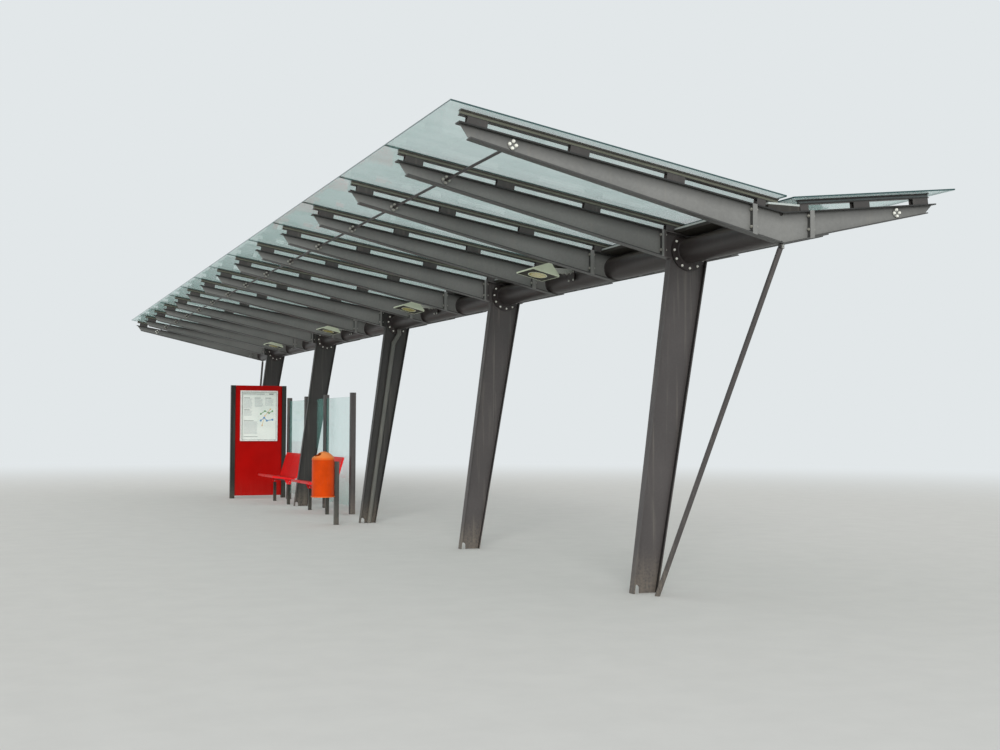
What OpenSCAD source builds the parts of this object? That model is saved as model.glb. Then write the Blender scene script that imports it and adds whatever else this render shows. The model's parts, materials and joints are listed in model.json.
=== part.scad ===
// Bus shelter: fifteen tapered steel rafters on five leaning columns, tied by a round tube,
// roofed with two planes of glass that drain to a valley, with seats, screen, panel and bin below.
// Millimetres, +Z up. X runs across the roof, Y along it. The origin is on the ground at the
// middle of the middle column's foot.

/* [Bays] */
// length of the glass roof
roof_len = 18902; // [17200:1:21300]
// number of glass bays along the roof
bays = 14; // [14:14]
// roof glass past the end rafters
end_overhang = 120; // [60:1:260]

/* [Columns] */
// column depth at the ground
column_foot_w = 228; // [180:1:280]
// column depth under the rafter
column_head_w = 355; // [300:1:400]
// how far the column leans towards the short wing
column_lean = 415; // [380:1:440]
// width of every flange along the roof
flange_w = 80; // [70:1:110]
// thickness of rafter and column flanges
flange_t = 10; // [8:1:14]
// thickness of rafter and column webs
web_t = 8; // [6:1:12]

/* [Rafters] */
// valley line, from the column foot
valley_x = 435; // [420:1:450]
// top of the rafters at the valley
valley_z = 2982; // [2800:1:3200]
// depth of the rafters at the valley
knee_depth = 240; // [239:1:280]
// from the valley to each bolted joint
splice_reach = 256; // [240:1:280]
// thickness of each end plate at a joint
end_plate_t = 20; // [12:1:25]
// how far the lower knee flange runs on under the short wing
knee_tail = 148; // [100:1:180]

/* [Long wing] */
// slope of the long wing
long_pitch = 9.5; // [6:0.1:11]
// valley to the tip of its upper flange, level
long_reach = 2598; // [2400:1:2800]
// depth at the tip
long_tip_depth = 98; // [90:1:130]
// how far the lower flange stops short of the upper one
tip_cut = 82; // [60:1:110]
// height of the blocks under its glazing rail
long_block_h = 50; // [44:1:90]
// from its tip to the middle of the outermost block
long_block_in = 135; // [100:1:200]
// distance between its blocks
long_block_step = 781; // [700:1:820]

/* [Short wing] */
// slope of the short wing
short_pitch = 6.6; // [5:0.1:8]
// valley to the tip of its upper flange, level
short_reach = 1442; // [1350:1:1600]
// depth at the tip
short_tip_depth = 76; // [68:1:100]
// height of the blocks under its glazing rail
short_block_h = 48; // [40:1:70]
// from its tip to the middle of the outermost block
short_block_in = 142; // [100:1:200]
// distance between its blocks
short_block_step = 575; // [520:1:650]

/* [Glazing] */
// glazing rail width
rail_w = 50; // [40:1:60]
// glazing rail height
rail_h = 36; // [30:1:44]
// length of a spacer block
block_len = 150; // [120:1:180]
// wall of blocks and rails
rail_wall = 5; // [3:0.5:8]
// how far the rails stop short of the long wing's tip
long_rail_in = 4; // [0:1:60]
// how far the rails stop short of the short wing's tip
short_rail_in = 52; // [20:1:100]
// roof glass thickness
glass_t = 12; // [10:1:16]
// rubber between rail and glass
seal_t = 3; // [2:0.5:5]
// joint between two panes
pane_joint = 14; // [8:1:24]
// long glass edge past the rafter tip
long_eave = 110; // [80:1:160]
// short glass edge past the rafter tip
short_eave = 130; // [80:1:160]
// open gap between the two roof planes
valley_gap = 66; // [50:1:90]

/* [Gutter] */
// width of the gutter
gutter_w = 280; // [240:1:300]
// height of its rim over the valley line
gutter_rim = 64; // [50:1:66]
// sheet thickness of the gutter
gutter_t = 3; // [2:0.5:4]
// downpipe diameter
pipe_d = 60; // [50:1:70]
// from the underside of the knees down to the downpipe's lower bend
pipe_bend_drop = 184; // [150:1:260]
// from the underside of the knees down to its upper bend
pipe_elbow_drop = 54; // [50:1:90]

/* [Tube] */
// outer diameter of the tube along the roof
tube_d = 219; // [190:1:222]
// wall of the tube
tube_wall = 8; // [5:1:12]
// outer diameter of the bolted tube flanges
ring_d = 340; // [320:1:360]
// thickness of the tube flanges
ring_t = 20; // [14:1:26]

/* [Ties and struts] */
// diameter of the tie rods
rod_d = 22; // [16:1:28]
// level distance from a wing tip to its tie rod, long wing
long_rod_in = 403; // [380:1:480]
// level distance from a wing tip to its tie rod, short wing
short_rod_in = 368; // [300:1:420]
// depth of a tie rod under the upper flange
rod_drop = 45; // [40:1:48]
// diameter of a tie plate
tie_plate_d = 72; // [60:1:76]
// thickness of a tie plate
tie_plate_t = 8; // [5:1:10]
// diameter of the end struts
strut_d = 42; // [36:1:60]
// strut foot, towards the end of the roof from its column
strut_foot_y = 210; // [150:1:260]
// strut foot, across the roof from the column foot line
strut_foot_x = 10; // [0:1:40]

/* [Lights] */
// width of a floodlight along the roof
light_w = 400; // [340:1:440]
// length of its glass face
light_len = 288; // [260:1:320]
// height of its back over the glass face
light_back = 108; // [90:1:120]
// tilt of its glass face
light_tilt = 13.6; // [8:0.1:16]
// from the tube to the light's lower back edge
light_gap = 250; // [230:1:280]
// height of its arms
light_arm_h = 42; // [36:1:48]

/* [Screen] */
// screen line, from the column foot line
screen_x = 276; // [260:1:300]
// height of the screen posts
screen_h = 1890; // [1700:1:2000]
// side of a screen post
screen_post = 80; // [60:1:90]
// wall of the screen posts and bench legs
post_wall = 4; // [3:0.5:6]
// thickness of the screen glass
screen_glass_t = 10; // [8:1:12]
// glass edge over the ground
screen_low = 120; // [60:1:200]

/* [Benches] */
// length of a bench
bench_len = 1226; // [1160:1:1300]
// between the legs of a bench
leg_gap = 1100; // [1000:1:1130]
// side of a bench leg
leg_d = 50; // [40:1:60]
// height of the seat's front edge
seat_z = 503; // [480:1:520]
// depth of the seat
seat_d = 400; // [380:1:430]
// slope of the seat, down to the back
seat_pitch = 7; // [3:0.1:9]
// length of the backrest
back_len = 450; // [400:1:480]
// lean of the backrest
back_lean = 16.6; // [12:0.1:20]
// depth of the folded edges
shell_edge = 38; // [30:1:42]
// sheet of the seat shells
shell_t = 3; // [2:0.5:5]

/* [Information panel] */
// width over both posts
panel_w = 1050; // [1000:1:1100]
// height of the posts
panel_h = 2130; // [2080:1:2250]
// side of a panel post
panel_post = 80; // [60:1:90]
// sheet edge over the ground
panel_low = 50; // [40:1:80]
// depth of the sheet's folded edges
panel_fold = 30; // [24:1:36]
// poster case width
case_w = 704; // [650:1:740]
// poster case height
case_h = 954; // [900:1:1000]
// poster case depth
case_d = 50; // [40:1:60]

/* [Bin] */
// outer diameter of the bin
bin_d = 310; // [290:1:330]
// height of the bin over the ground
bin_z = 385; // [340:1:420]
// height of the bin
bin_h = 630; // [600:1:660]
// wall of the bin
bin_wall = 4; // [3:0.5:6]
// slope of the face that carries its mouth
mouth_pitch = 34; // [30:1:38]
// side of its post
bin_post_d = 60; // [50:1:70]
// height of its post
bin_post_h = 877; // [800:1:900]

/* [Hidden] */
$fn = 48;
// Rafters are numbered from 0, and these stand on columns
column_at = [1, 4, 7, 10, 13];
mid = 7;
bay = (roof_len - 2 * end_overhang) / bays;
soffit_z = valley_z - knee_depth;
function row_y(i) = (i - mid) * bay;

// Lines of the frame. Each gives a height for a place x across the roof.
function top_z(x) = valley_z + (x < valley_x ? (valley_x - x) * tan(long_pitch)
    : (x - valley_x) * tan(short_pitch));
long_low_reach = long_reach - tip_cut;
short_low_reach = short_reach - tip_cut;
long_fall = (top_z(valley_x - long_low_reach) - long_tip_depth - soffit_z) / long_low_reach;
short_fall = (top_z(valley_x + short_low_reach) - short_tip_depth - soffit_z - flange_t) / short_low_reach;
function low_z(x) = soffit_z + (x < valley_x ? (valley_x - x) * long_fall : (x - valley_x) * short_fall);
lean_l = (column_lean - (column_head_w - column_foot_w) / 2) / soffit_z;
lean_r = (column_lean + (column_head_w - column_foot_w) / 2) / soffit_z;
function left_x(z) = -column_foot_w / 2 + z * lean_l;
function right_x(z) = column_foot_w / 2 + z * lean_r;
// Height at which a column edge meets the underside line of the knee
left_head = (soffit_z + (valley_x - left_x(0)) * long_fall) / (1 + lean_l * long_fall);
right_head = (soffit_z + (right_x(0) - valley_x) * short_fall) / (1 - lean_r * short_fall);

splice_l = valley_x - splice_reach;
splice_r = valley_x + splice_reach;
tube_z = valley_z - knee_depth / 2;
fit = 0.2;
// Half-round holes where welds cross, and the arched openings in the column feet
weld_hole_r = 16;
cope_r = 18;
foot_hole_w = 62;
pipe_wall = 3;

// Floodlights: walls, where the back is highest as a share of the length, and how far the middle
// of the tube stands over the lower back edge
light_wall = 4;
light_peak = 0.41;
light_drop = 33;
lens_t = 5;
// Their brackets: wall plate, the socket behind it, and the arms beside it
bracket_plate = [8, 120, 108];
bracket_low = -21;
bracket_socket = 60;
arm_t = 6;
arm_gap = 80;
arm_reach = 80;
arm_low = 58;

// Places of the furniture along and across the shelter
screen_y = [1.32 * bay, 2.54 * bay, 3.55 * bay, 4.56 * bay];
bench_y = [1.794 * bay, 3.767 * bay];
leg_x = -100;
panel_x = -203;
panel_y = 4.95 * bay;
bin_x = -692;
bin_y = -183;

// Seat shells: joint between the two of a bench, and their carriers and beams
shell_joint = 12;
carrier_h = 80;
carrier_foot = 60;
carrier_front = 74;
carrier_back = 60;
beam_w = 50;
beam_h = 30;

// Panel sheet, poster case and what lies in it
panel_t = 3;
case_z = 1556;
case_lip = 26;
poster_t = 2;
case_glass_t = 4;

// Bin: hood, mouth slot, bottom rim, and the clamps on its post
hood_h = 110;
dome_rise = 92;
mouth_w = 200;
mouth_h = 76;
bin_rim = [6, 20];
clamp = [16, 80, 60];
clamp_at = [120, 400];

module across(t) { rotate([90, 0, 0]) linear_extrude(t, center = true) children(); }
module at_rows(rows) { for (i = rows) translate([0, row_y(i), 0]) children(); }
// Frame on a wing: +X runs up the slope from the valley, +Z stands off its upper flange
module on_long() {
    translate([valley_x, 0, valley_z]) mirror([1, 0, 0]) rotate([0, -long_pitch, 0]) children();
}
module on_short() { translate([valley_x, 0, valley_z]) rotate([0, -short_pitch, 0]) children(); }

// Flat strip from x0 to x1 under the upper line, or above the lower line
module top_strip(x0, x1) {
    xs = x0 < valley_x && x1 > valley_x ? [x0, valley_x, x1] : [x0, x1];
    polygon(concat([for (x = xs) [x, top_z(x)]],
        [for (i = [len(xs) - 1:-1:0]) [xs[i], top_z(xs[i]) - flange_t]]));
}
module low_strip(x0, x1, drop = 0) {
    polygon([[x0, low_z(x0) - drop], [x1, low_z(x1) - drop],
        [x1, low_z(x1) - drop + flange_t], [x0, low_z(x0) - drop + flange_t]]);
}
module end_plate_2d(x) {
    translate([x, low_z(x + end_plate_t / 2) + flange_t / 2])
        square([end_plate_t, top_z(x + end_plate_t / 2) - low_z(x + end_plate_t / 2) - flange_t]);
}

// Web of the knee, with a half-round hole at its kink so that the welds run through
module knee_webs() {
    difference() {
        polygon([[splice_l, top_z(splice_l) - flange_t / 2], [valley_x, valley_z - flange_t / 2],
            [splice_r, top_z(splice_r) - flange_t / 2], [splice_r, low_z(splice_r) + flange_t / 2],
            [valley_x, soffit_z + flange_t / 2], [splice_l, low_z(splice_l) + flange_t / 2]]);
        translate([valley_x, valley_z - flange_t]) circle(weld_hole_r);
    }
}
module knee_flanges() {
    top_strip(splice_l, splice_r);
    end_plate_2d(splice_l);
    end_plate_2d(splice_r - end_plate_t);
}
module knee() {
    across(web_t) difference() {
        knee_webs();
        translate([valley_x, soffit_z + flange_t]) circle(weld_hole_r);
    }
    across(flange_w) {
        knee_flanges();
        low_strip(splice_l, valley_x);
        tail_flange(valley_x);
    }
}
// Lower flange on the short side, one flange thickness lower, running on under the wing
module tail_flange(x0) {
    x1 = splice_r + knee_tail;
    polygon([[x0, low_z(x0)], [x1, low_z(x1)], [x1, low_z(x1) + flange_t], [x0, low_z(x0) + flange_t]]);
}

module column_web() {
    difference() {
        polygon([[left_x(0), 0], [right_x(0), 0], [right_x(right_head), right_head + flange_t],
            [valley_x, soffit_z + flange_t], [left_x(left_head), left_head + flange_t]]);
        // Opening at the foot, beside the left flange
        translate([left_x(0) + flange_t, 0]) {
            translate([0, -1]) square([foot_hole_w, foot_hole_w / 2 + 9]);
            translate([foot_hole_w / 2, foot_hole_w / 2 + 8]) circle(foot_hole_w / 2);
        }
    }
}
module column_flanges() {
    polygon([[left_x(0), 0], [left_x(0) + flange_t, 0],
        [left_x(left_head) + flange_t, left_head + flange_t], [left_x(left_head), left_head + flange_t / 2]]);
    polygon([[right_x(0), 0], [right_x(right_head), right_head + flange_t / 2],
        [right_x(right_head) - flange_t, right_head + flange_t], [right_x(0) - flange_t, 0]]);
}
module column(i) {
    translate([0, row_y(i), 0]) {
        across(web_t) {
            knee_webs();
            column_web();
        }
        across(flange_w) {
            knee_flanges();
            column_flanges();
            low_strip(splice_l, left_x(left_head) + flange_t / 2);
            tail_flange(right_x(right_head) - flange_t / 2);
        }
    }
}

module long_wing() {
    tip = valley_x - long_reach;
    low_tip = tip + tip_cut;
    plate_x = splice_l - end_plate_t;
    across(web_t) difference() {
        polygon([[splice_l, top_z(splice_l) - flange_t / 2], [splice_l, low_z(splice_l) + flange_t / 2],
            [low_tip, low_z(low_tip) + flange_t / 2], [tip + flange_t, top_z(tip) - flange_t / 2]]);
        translate([plate_x, low_z(plate_x) + flange_t]) circle(cope_r);
    }
    across(flange_w) {
        top_strip(tip, splice_l);
        low_strip(low_tip, splice_l);
        end_plate_2d(plate_x);
    }
}
module short_wing() {
    tip = valley_x + short_reach;
    low_tip = tip - tip_cut;
    plate_x = splice_r + end_plate_t;
    across(web_t) difference() {
        polygon([[splice_r, top_z(splice_r) - flange_t / 2], [splice_r, low_z(splice_r) + flange_t * 1.5],
            [low_tip, low_z(low_tip) + flange_t * 1.5], [tip - flange_t, top_z(tip) - flange_t / 2]]);
        translate([plate_x, low_z(plate_x) + 2 * flange_t]) circle(cope_r);
    }
    across(flange_w) {
        top_strip(splice_r, tip);
        low_strip(splice_r, low_tip, -flange_t);
        translate([splice_r, low_z(plate_x) + flange_t])
            square([end_plate_t, top_z(splice_r) - low_z(plate_x) - flange_t]);
    }
}

// Hollow block on a wing, from u to u + len up the slope
module block(u, len, h) {
    translate([u, 0, 0]) rotate([90, 0, 90]) linear_extrude(len) difference() {
        translate([-rail_w / 2, 0]) square([rail_w, h]);
        translate([-rail_w / 2 + rail_wall, rail_wall]) square([rail_w - 2 * rail_wall, h - 2 * rail_wall]);
    }
}
long_len = long_reach / cos(long_pitch);
short_len = short_reach / cos(short_pitch);
long_blocks_at = [for (k = [0:2]) long_len - long_block_in - k * long_block_step];
short_blocks_at = [for (k = [0:1]) short_len - short_block_in - k * short_block_step];
filler_u = gutter_w / 2 + 20;
filler_len = splice_reach - end_plate_t - filler_u;

// Glazing rail: a small I bar
module rail(u0, u1, h) {
    translate([u0, 0, h]) rotate([90, 0, 90]) linear_extrude(u1 - u0) {
        translate([-rail_w / 2, 0]) square([rail_w, rail_wall]);
        translate([-rail_w / 2, rail_h - rail_wall]) square([rail_w, rail_wall]);
        translate([-rail_w / 4, 0]) square([rail_w / 2, rail_h]);
    }
}
long_rail_end = long_len - long_rail_in;
short_rail_end = short_len - short_rail_in;

// Panes: joints stand over the rafters, the end panes run on past the last rafter
module panes(u0, u1, h) {
    for (i = [0:bays - 1]) {
        y0 = i == 0 ? -roof_len / 2 : row_y(i) + pane_joint / 2;
        y1 = i == bays - 1 ? roof_len / 2 : row_y(i + 1) - pane_joint / 2;
        translate([u0, y0, h]) cube([u1 - u0, y1 - y0, glass_t]);
    }
}
long_glass_h = long_block_h + rail_h + seal_t;
short_glass_h = short_block_h + rail_h + seal_t;
long_glass_u = valley_gap / 2 / cos(long_pitch) + long_glass_h * tan(long_pitch);
short_glass_u = valley_gap / 2 / cos(short_pitch) + short_glass_h * tan(short_pitch);

module gutter_2d(inset) {
    x0 = valley_x - gutter_w / 2 + inset;
    x1 = valley_x + gutter_w / 2 - inset;
    rim = valley_z + gutter_rim + (inset > 0 ? 5 : 0);
    polygon([[x0, rim], [x0, top_z(x0) + inset], [valley_x, valley_z + inset], [x1, top_z(x1) + inset],
        [x1, rim]]);
}

module column_1() { color("dimgray") column(column_at[0]); }
module column_2() { color("dimgray") column(column_at[1]); }
module column_3() { color("dimgray") column(column_at[2]); }
module column_4() { color("dimgray") column(column_at[3]); }
module column_5() { color("dimgray") column(column_at[4]); }

module rafter_knees() { color("dimgray") at_rows([0, 2, 3, 5, 6, 8, 9, 11, 12, 14]) knee(); }
module long_wings() { color("dimgray") at_rows([0:bays]) long_wing(); }
module short_wings() { color("dimgray") at_rows([0:bays]) short_wing(); }
module long_blocks() {
    color("gray") at_rows([0:bays]) on_long() {
        for (u = long_blocks_at) block(u - block_len / 2, block_len, long_block_h);
        block(filler_u, filler_len, long_block_h);
    }
}
module short_blocks() {
    color("gray") at_rows([0:bays]) on_short() {
        for (u = short_blocks_at) block(u - block_len / 2, block_len, short_block_h);
        block(filler_u, filler_len, short_block_h);
    }
}
module long_rails() {
    color("gray") at_rows([0:bays]) on_long() rail(long_glass_u, long_rail_end, long_block_h);
}
module short_rails() {
    color("gray") at_rows([0:bays]) on_short() rail(filler_u, short_rail_end, short_block_h);
}
module glazing_seals() {
    color("black") {
        at_rows([0:bays]) on_long() seal(long_glass_u, long_rail_end, long_glass_h);
        at_rows([0:bays]) on_short() seal(filler_u, short_rail_end, short_glass_h);
    }
}
module seal(u0, u1, h) { translate([u0, -rail_w / 2, h - seal_t]) cube([u1 - u0, rail_w, seal_t]); }
module long_glass() {
    color("lightblue", 0.4) on_long()
        panes(long_glass_u, long_len + long_eave, long_glass_h);
}
module short_glass() {
    color("lightblue", 0.4) on_short()
        panes(short_glass_u, short_len + short_eave, short_glass_h);
}

// The gutter lies on the knees and ends flush with the flanges of the end rafters
gutter_len = bays * bay + flange_w;
module valley_gutter() {
    color("silver") difference() {
        across(gutter_len) gutter_2d(0);
        across(gutter_len - 2 * gutter_t) gutter_2d(gutter_t);
    }
}

// Downpipe: out of the tube's underside clear of the bolted flange, then in the column's web recess
pipe_y = -web_t / 2 - pipe_d / 2 - fit;
pipe_drop_y = -web_t / 2 - ring_t - pipe_d / 2 - 2;
// In the recess it runs beside the middle of the web, a little steeper than the column
pipe_lean = 0.9 * column_lean / soffit_z;
pipe_foot_x = 14;
pipe_bend_z = soffit_z - pipe_bend_drop;
pipe_path = [[pipe_foot_x, pipe_y, 0] - 50 * [pipe_lean, 0, 1],
    [pipe_foot_x + pipe_bend_z * pipe_lean, pipe_y, pipe_bend_z],
    [valley_x, pipe_drop_y, soffit_z - pipe_elbow_drop], [valley_x, pipe_drop_y, tube_z]];
module between(a, b, d) {
    v = b - a;
    translate(a) rotate([0, 0, atan2(v[1], v[0])]) rotate([0, acos(v[2] / norm(v)), 0])
        cylinder(d = d, h = norm(v));
}
module pipe_run(d, ball) {
    for (k = [0:2]) between(pipe_path[k], pipe_path[k + 1], d);
    for (k = [1, 2]) translate(pipe_path[k]) sphere(d = ball);
}
module downpipe() {
    color("gray") difference() {
        pipe_run(pipe_d, pipe_d + 8);
        pipe_run(pipe_d - 2 * pipe_wall, pipe_d - 2 * pipe_wall + 3);
        translate([valley_x, 0, tube_z]) rotate([90, 0, 0])
            cylinder(d = tube_d + 2 * fit, h = 400, center = true);
        translate([-200, -200, -100]) cube([400, 400, 100]);
    }
}

module tube_piece(y0, y1) {
    translate([valley_x, y0, tube_z]) rotate([-90, 0, 0]) difference() {
        cylinder(d = tube_d, h = y1 - y0, $fn = 64);
        translate([0, 0, -1]) cylinder(d = tube_d - 2 * tube_wall, h = y1 - y0 + 2, $fn = 64);
    }
}
module torsion_tube() {
    color("dimgray") for (i = [0:bays - 1]) tube_piece(row_y(i) + web_t / 2, row_y(i + 1) - web_t / 2);
}
// Bolted flange round the tube, cut flat under the rafter's upper flange
module ring() {
    difference() {
        rotate([-90, 0, 0]) cylinder(d = ring_d, h = ring_t, $fn = 64);
        translate([0, -1, 0]) rotate([-90, 0, 0]) cylinder(d = tube_d + 2 * fit, h = ring_t + 2, $fn = 64);
        translate([-ring_d, -1, knee_depth / 2 - flange_t - fit]) cube([2 * ring_d, ring_t + 2, ring_d]);
    }
}
module tube_flanges() {
    color("dimgray") at_rows(column_at) for (s = [0, 1]) mirror([0, s, 0])
        translate([valley_x, web_t / 2, tube_z]) ring();
}

// Place of the tie rods on each wing
function rod_at(x) = [x, 0, top_z(x) - flange_t - rod_drop];
long_rod = rod_at(valley_x - long_reach + long_rod_in);
short_rod = rod_at(valley_x + short_reach - short_rod_in);
module rods(p) {
    reach = web_t / 2 + tie_plate_t;
    for (i = [0:bays - 1]) translate([p[0], row_y(i) + reach, p[2]]) rotate([-90, 0, 0])
        cylinder(d = rod_d, h = bay - 2 * reach);
}
module tie_plates(p) {
    at_rows([0:bays]) for (s = [-1, 1])
        translate([p[0], s * (web_t + tie_plate_t) / 2, p[2]]) rotate([90, 0, 0])
            cylinder(d = tie_plate_d, h = tie_plate_t, center = true);
}
module long_tie_rods() { color("dimgray") rods(long_rod); }
module short_tie_rods() { color("dimgray") rods(short_rod); }
module long_tie_plates() { color("gray") tie_plates(long_rod); }
module short_tie_plates() { color("gray") tie_plates(short_rod); }

// Struts from the end knees down to the ground beside the end columns
strut_top = [valley_x, row_y(0), soffit_z - 10];
strut_foot = [strut_foot_x, row_y(column_at[0]) - strut_foot_y, 0];
strut_wall = 4;
strut_head = [28, 40, 34];
module strut() {
    run = strut_top - strut_foot;
    unit = run / norm(run);
    difference() {
        union() {
            difference() {
                between(strut_foot - 60 * unit, strut_top - 20 * unit, strut_d);
                between(strut_foot - 61 * unit, strut_top - 60 * unit, strut_d - 2 * strut_wall);
            }
            translate(strut_top - [strut_head[0] / 2, strut_head[1] / 2, strut_head[2] - 10])
                cube(strut_head);
        }
        translate(strut_foot + [-200, -200, -200]) cube([400, 400, 200]);
    }
}
module end_struts() { color("dimgray") for (s = [0, 1]) mirror([0, s, 0]) strut(); }

// Floodlights, one over the middle of each span between columns. A light's own frame starts at
// its lower back edge: +X runs along the glass face to the front, +Z stands off it.
light_rows = [for (c = [0:3]) (row_y(column_at[c]) + row_y(column_at[c + 1])) / 2];
light_x = valley_x - tube_d / 2 - light_gap;
light_z = tube_z - light_drop;
module at_lights() { for (y = light_rows) translate([light_x, y, light_z]) children(); }
module on_light() { at_lights() mirror([1, 0, 0]) rotate([0, -light_tilt, 0]) children(); }
module light_profile(inset) {
    polygon([[inset, -10 - inset], [light_len - inset, -10 - inset], [light_len - inset, 4 - inset],
        [light_len * light_peak, light_back - inset], [inset, 6 - inset]]);
}
module floodlights() {
    color("silver") on_light() difference() {
        across(light_w) light_profile(0);
        across(light_w - 2 * light_wall) light_profile(light_wall);
    }
}
module light_lenses() {
    gap = light_wall + fit;
    color("khaki") on_light() translate([gap, gap - light_w / 2, -8])
        cube([light_len - 2 * gap, light_w - 2 * gap, lens_t]);
}
// Wall plate on the tube and two arms to the light's back
light_plate_x = light_gap - 26;
module light_brackets() {
    color("gray") at_lights() difference() {
        union() {
            translate([light_plate_x, -bracket_plate[1] / 2, bracket_low]) cube(bracket_plate);
            translate([light_plate_x, -bracket_socket / 2, light_drop - bracket_socket / 2])
                cube(bracket_socket);
            for (s = [-1, 1]) translate([-arm_reach, s * arm_gap / 2 - arm_t / 2, arm_low])
                cube([arm_reach + light_plate_x, arm_t, light_arm_h]);
        }
        translate([light_gap + tube_d / 2, 0, light_drop]) rotate([90, 0, 0])
            cylinder(d = tube_d + 2 * fit, h = 2 * bracket_plate[1], center = true, $fn = 64);
        mirror([1, 0, 0]) rotate([0, -light_tilt, 0]) translate([-fit, 0, 0])
            across(light_w) light_back_side();
    }
}
// All that lies in front of the light's back face
module light_back_side() {
    polygon([[0, 6], [light_len * light_peak, light_back], [light_len * light_peak, 3 * light_back],
        [light_len * 2, 3 * light_back], [light_len * 2, -light_back], [0, -light_back]]);
}

// Furniture below the roof, standing by itself
// Square hollow post from the floor, its middle at [x, y], closed at the top
module post(x, y, side, h, wall) {
    translate([x - side / 2, y - side / 2, 0]) difference() {
        cube([side, side, h]);
        translate([wall, wall, -1]) cube([side - 2 * wall, side - 2 * wall, h + 1 - wall]);
    }
}

module screen_posts() {
    color("dimgray") for (y = screen_y) post(screen_x, y, screen_post, screen_h, post_wall);
}
module screen_glass() {
    color("lightblue", 0.4) for (k = [0:2]) {
        gap = screen_y[k + 1] - screen_y[k] - screen_post;
        translate([screen_x - screen_glass_t / 2, screen_y[k] + screen_post / 2 + fit, screen_low])
            cube([screen_glass_t, gap - 2 * fit, screen_h - screen_low - 60]);
    }
}

// Benches: two folded sheet shells on two legs. The seats bend up into the backs at X = 0.
bend_z = seat_z - seat_d * sin(seat_pitch);
shell_len = (bench_len - shell_joint) / 2;
// Open tray of folded sheet: its face on z = 0, its edges down
module tray(x, y, depth, t) {
    translate([0, -y / 2, -depth]) difference() {
        cube([x, y, depth]);
        translate([t, t, -1]) cube([x - 2 * t, y - 2 * t, depth + 1 - t]);
    }
}
module shell() {
    translate([0, 0, bend_z]) {
        mirror([1, 0, 0]) rotate([0, -seat_pitch, 0]) tray(seat_d, shell_len, shell_edge, shell_t);
        rotate([0, back_lean - 90, 0]) mirror([0, 0, 1]) translate([-1, 0, 0]) mirror([0, 0, 1])
            tray(back_len, shell_len, shell_edge * 0.7, shell_t);
    }
}
module at_benches() { for (y = bench_y) translate([0, y, 0]) children(); }
module bench_shells() {
    color("red") at_benches() for (s = [-1, 1]) translate([0, s * (shell_len + shell_joint) / 2, 0]) shell();
}
// Height of a shell's open edges, and of its sheet's underside
function edge_z(x) = bend_z - x * tan(seat_pitch) - shell_edge / cos(seat_pitch);
function sheet_z(x) = bend_z - x * tan(seat_pitch) - (shell_t + fit) / cos(seat_pitch);
leg_top = edge_z(leg_x) - carrier_h;
module bench_legs() {
    color("dimgray") at_benches() for (s = [-1, 1]) post(leg_x, s * leg_gap / 2, leg_d, leg_top, post_wall);
}
// Tapered sheet carriers between the legs and the seats: two cheeks and a plate under the seat
module bench_brackets() {
    front = leg_x - 2 * carrier_front;
    back = leg_x + 2 * carrier_back;
    color("red") at_benches() for (s = [-1, 1]) translate([0, s * leg_gap / 2, 0]) difference() {
        across(leg_d) carrier_2d();
        across(leg_d - 2 * shell_t) polygon([[front, leg_top - 1], [back, leg_top - 1],
            [back, sheet_z(back) - shell_t], [front, sheet_z(front) - shell_t]]);
    }
}
module carrier_2d() {
    front = leg_x - carrier_front;
    back = leg_x + carrier_back;
    polygon([[leg_x - carrier_foot / 2, leg_top], [leg_x + carrier_foot / 2, leg_top], [back, edge_z(back)],
        [back, sheet_z(back)], [front, sheet_z(front)], [front, edge_z(front)]]);
}
// Beams from carrier to carrier, under the shells
module bench_beams() {
    color("dimgray") at_benches() across(leg_gap - leg_d - 2 * fit) difference() {
        beam_2d(0);
        beam_2d(post_wall);
    }
}
module beam_2d(inset) {
    x0 = leg_x - beam_w / 2 + inset;
    x1 = leg_x + beam_w / 2 - inset;
    polygon([[x0, edge_z(x0) - beam_h + inset], [x1, edge_z(x1) - beam_h + inset],
        [x1, edge_z(x1) - inset - fit / 2], [x0, edge_z(x0) - inset - fit / 2]]);
}

// Information panel across the shelter's far end
panel_in = panel_w - 2 * panel_post;
module panel_posts() {
    color("dimgray") for (s = [-1, 1])
        post(panel_x + s * (panel_w - panel_post) / 2, panel_y, panel_post, panel_h, post_wall);
}
module panel_sheet() {
    color("red") translate([panel_x, panel_y - panel_fold / 2, (panel_h + panel_low) / 2]) rotate([0, 90, 0])
        rotate([90, 0, 0]) translate([(panel_low - panel_h) / 2, 0, 0])
            tray(panel_h - panel_low, panel_in - 2 * fit, panel_fold, panel_t);
}
case_y = panel_y - panel_fold / 2 - case_d;
module poster_case() {
    color("silver") translate([panel_x - case_w / 2, case_y, case_z - case_h / 2]) difference() {
        cube([case_w, case_d, case_h]);
        translate([case_lip, -1, case_lip]) cube([case_w - 2 * case_lip, case_d - 3, case_h - 2 * case_lip]);
    }
}
// Sheet that fills the case's opening, from y behind its front
module in_case(y, t) {
    translate([panel_x - case_w / 2 + case_lip, case_y + y, case_z - case_h / 2 + case_lip])
        cube([case_w - 2 * case_lip, t, case_h - 2 * case_lip]);
}
module poster_sheet() { color("white") in_case(case_d - 4 - poster_t, poster_t); }
module poster_glass() { color("lightblue", 0.4) in_case(4, case_glass_t); }

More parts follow.
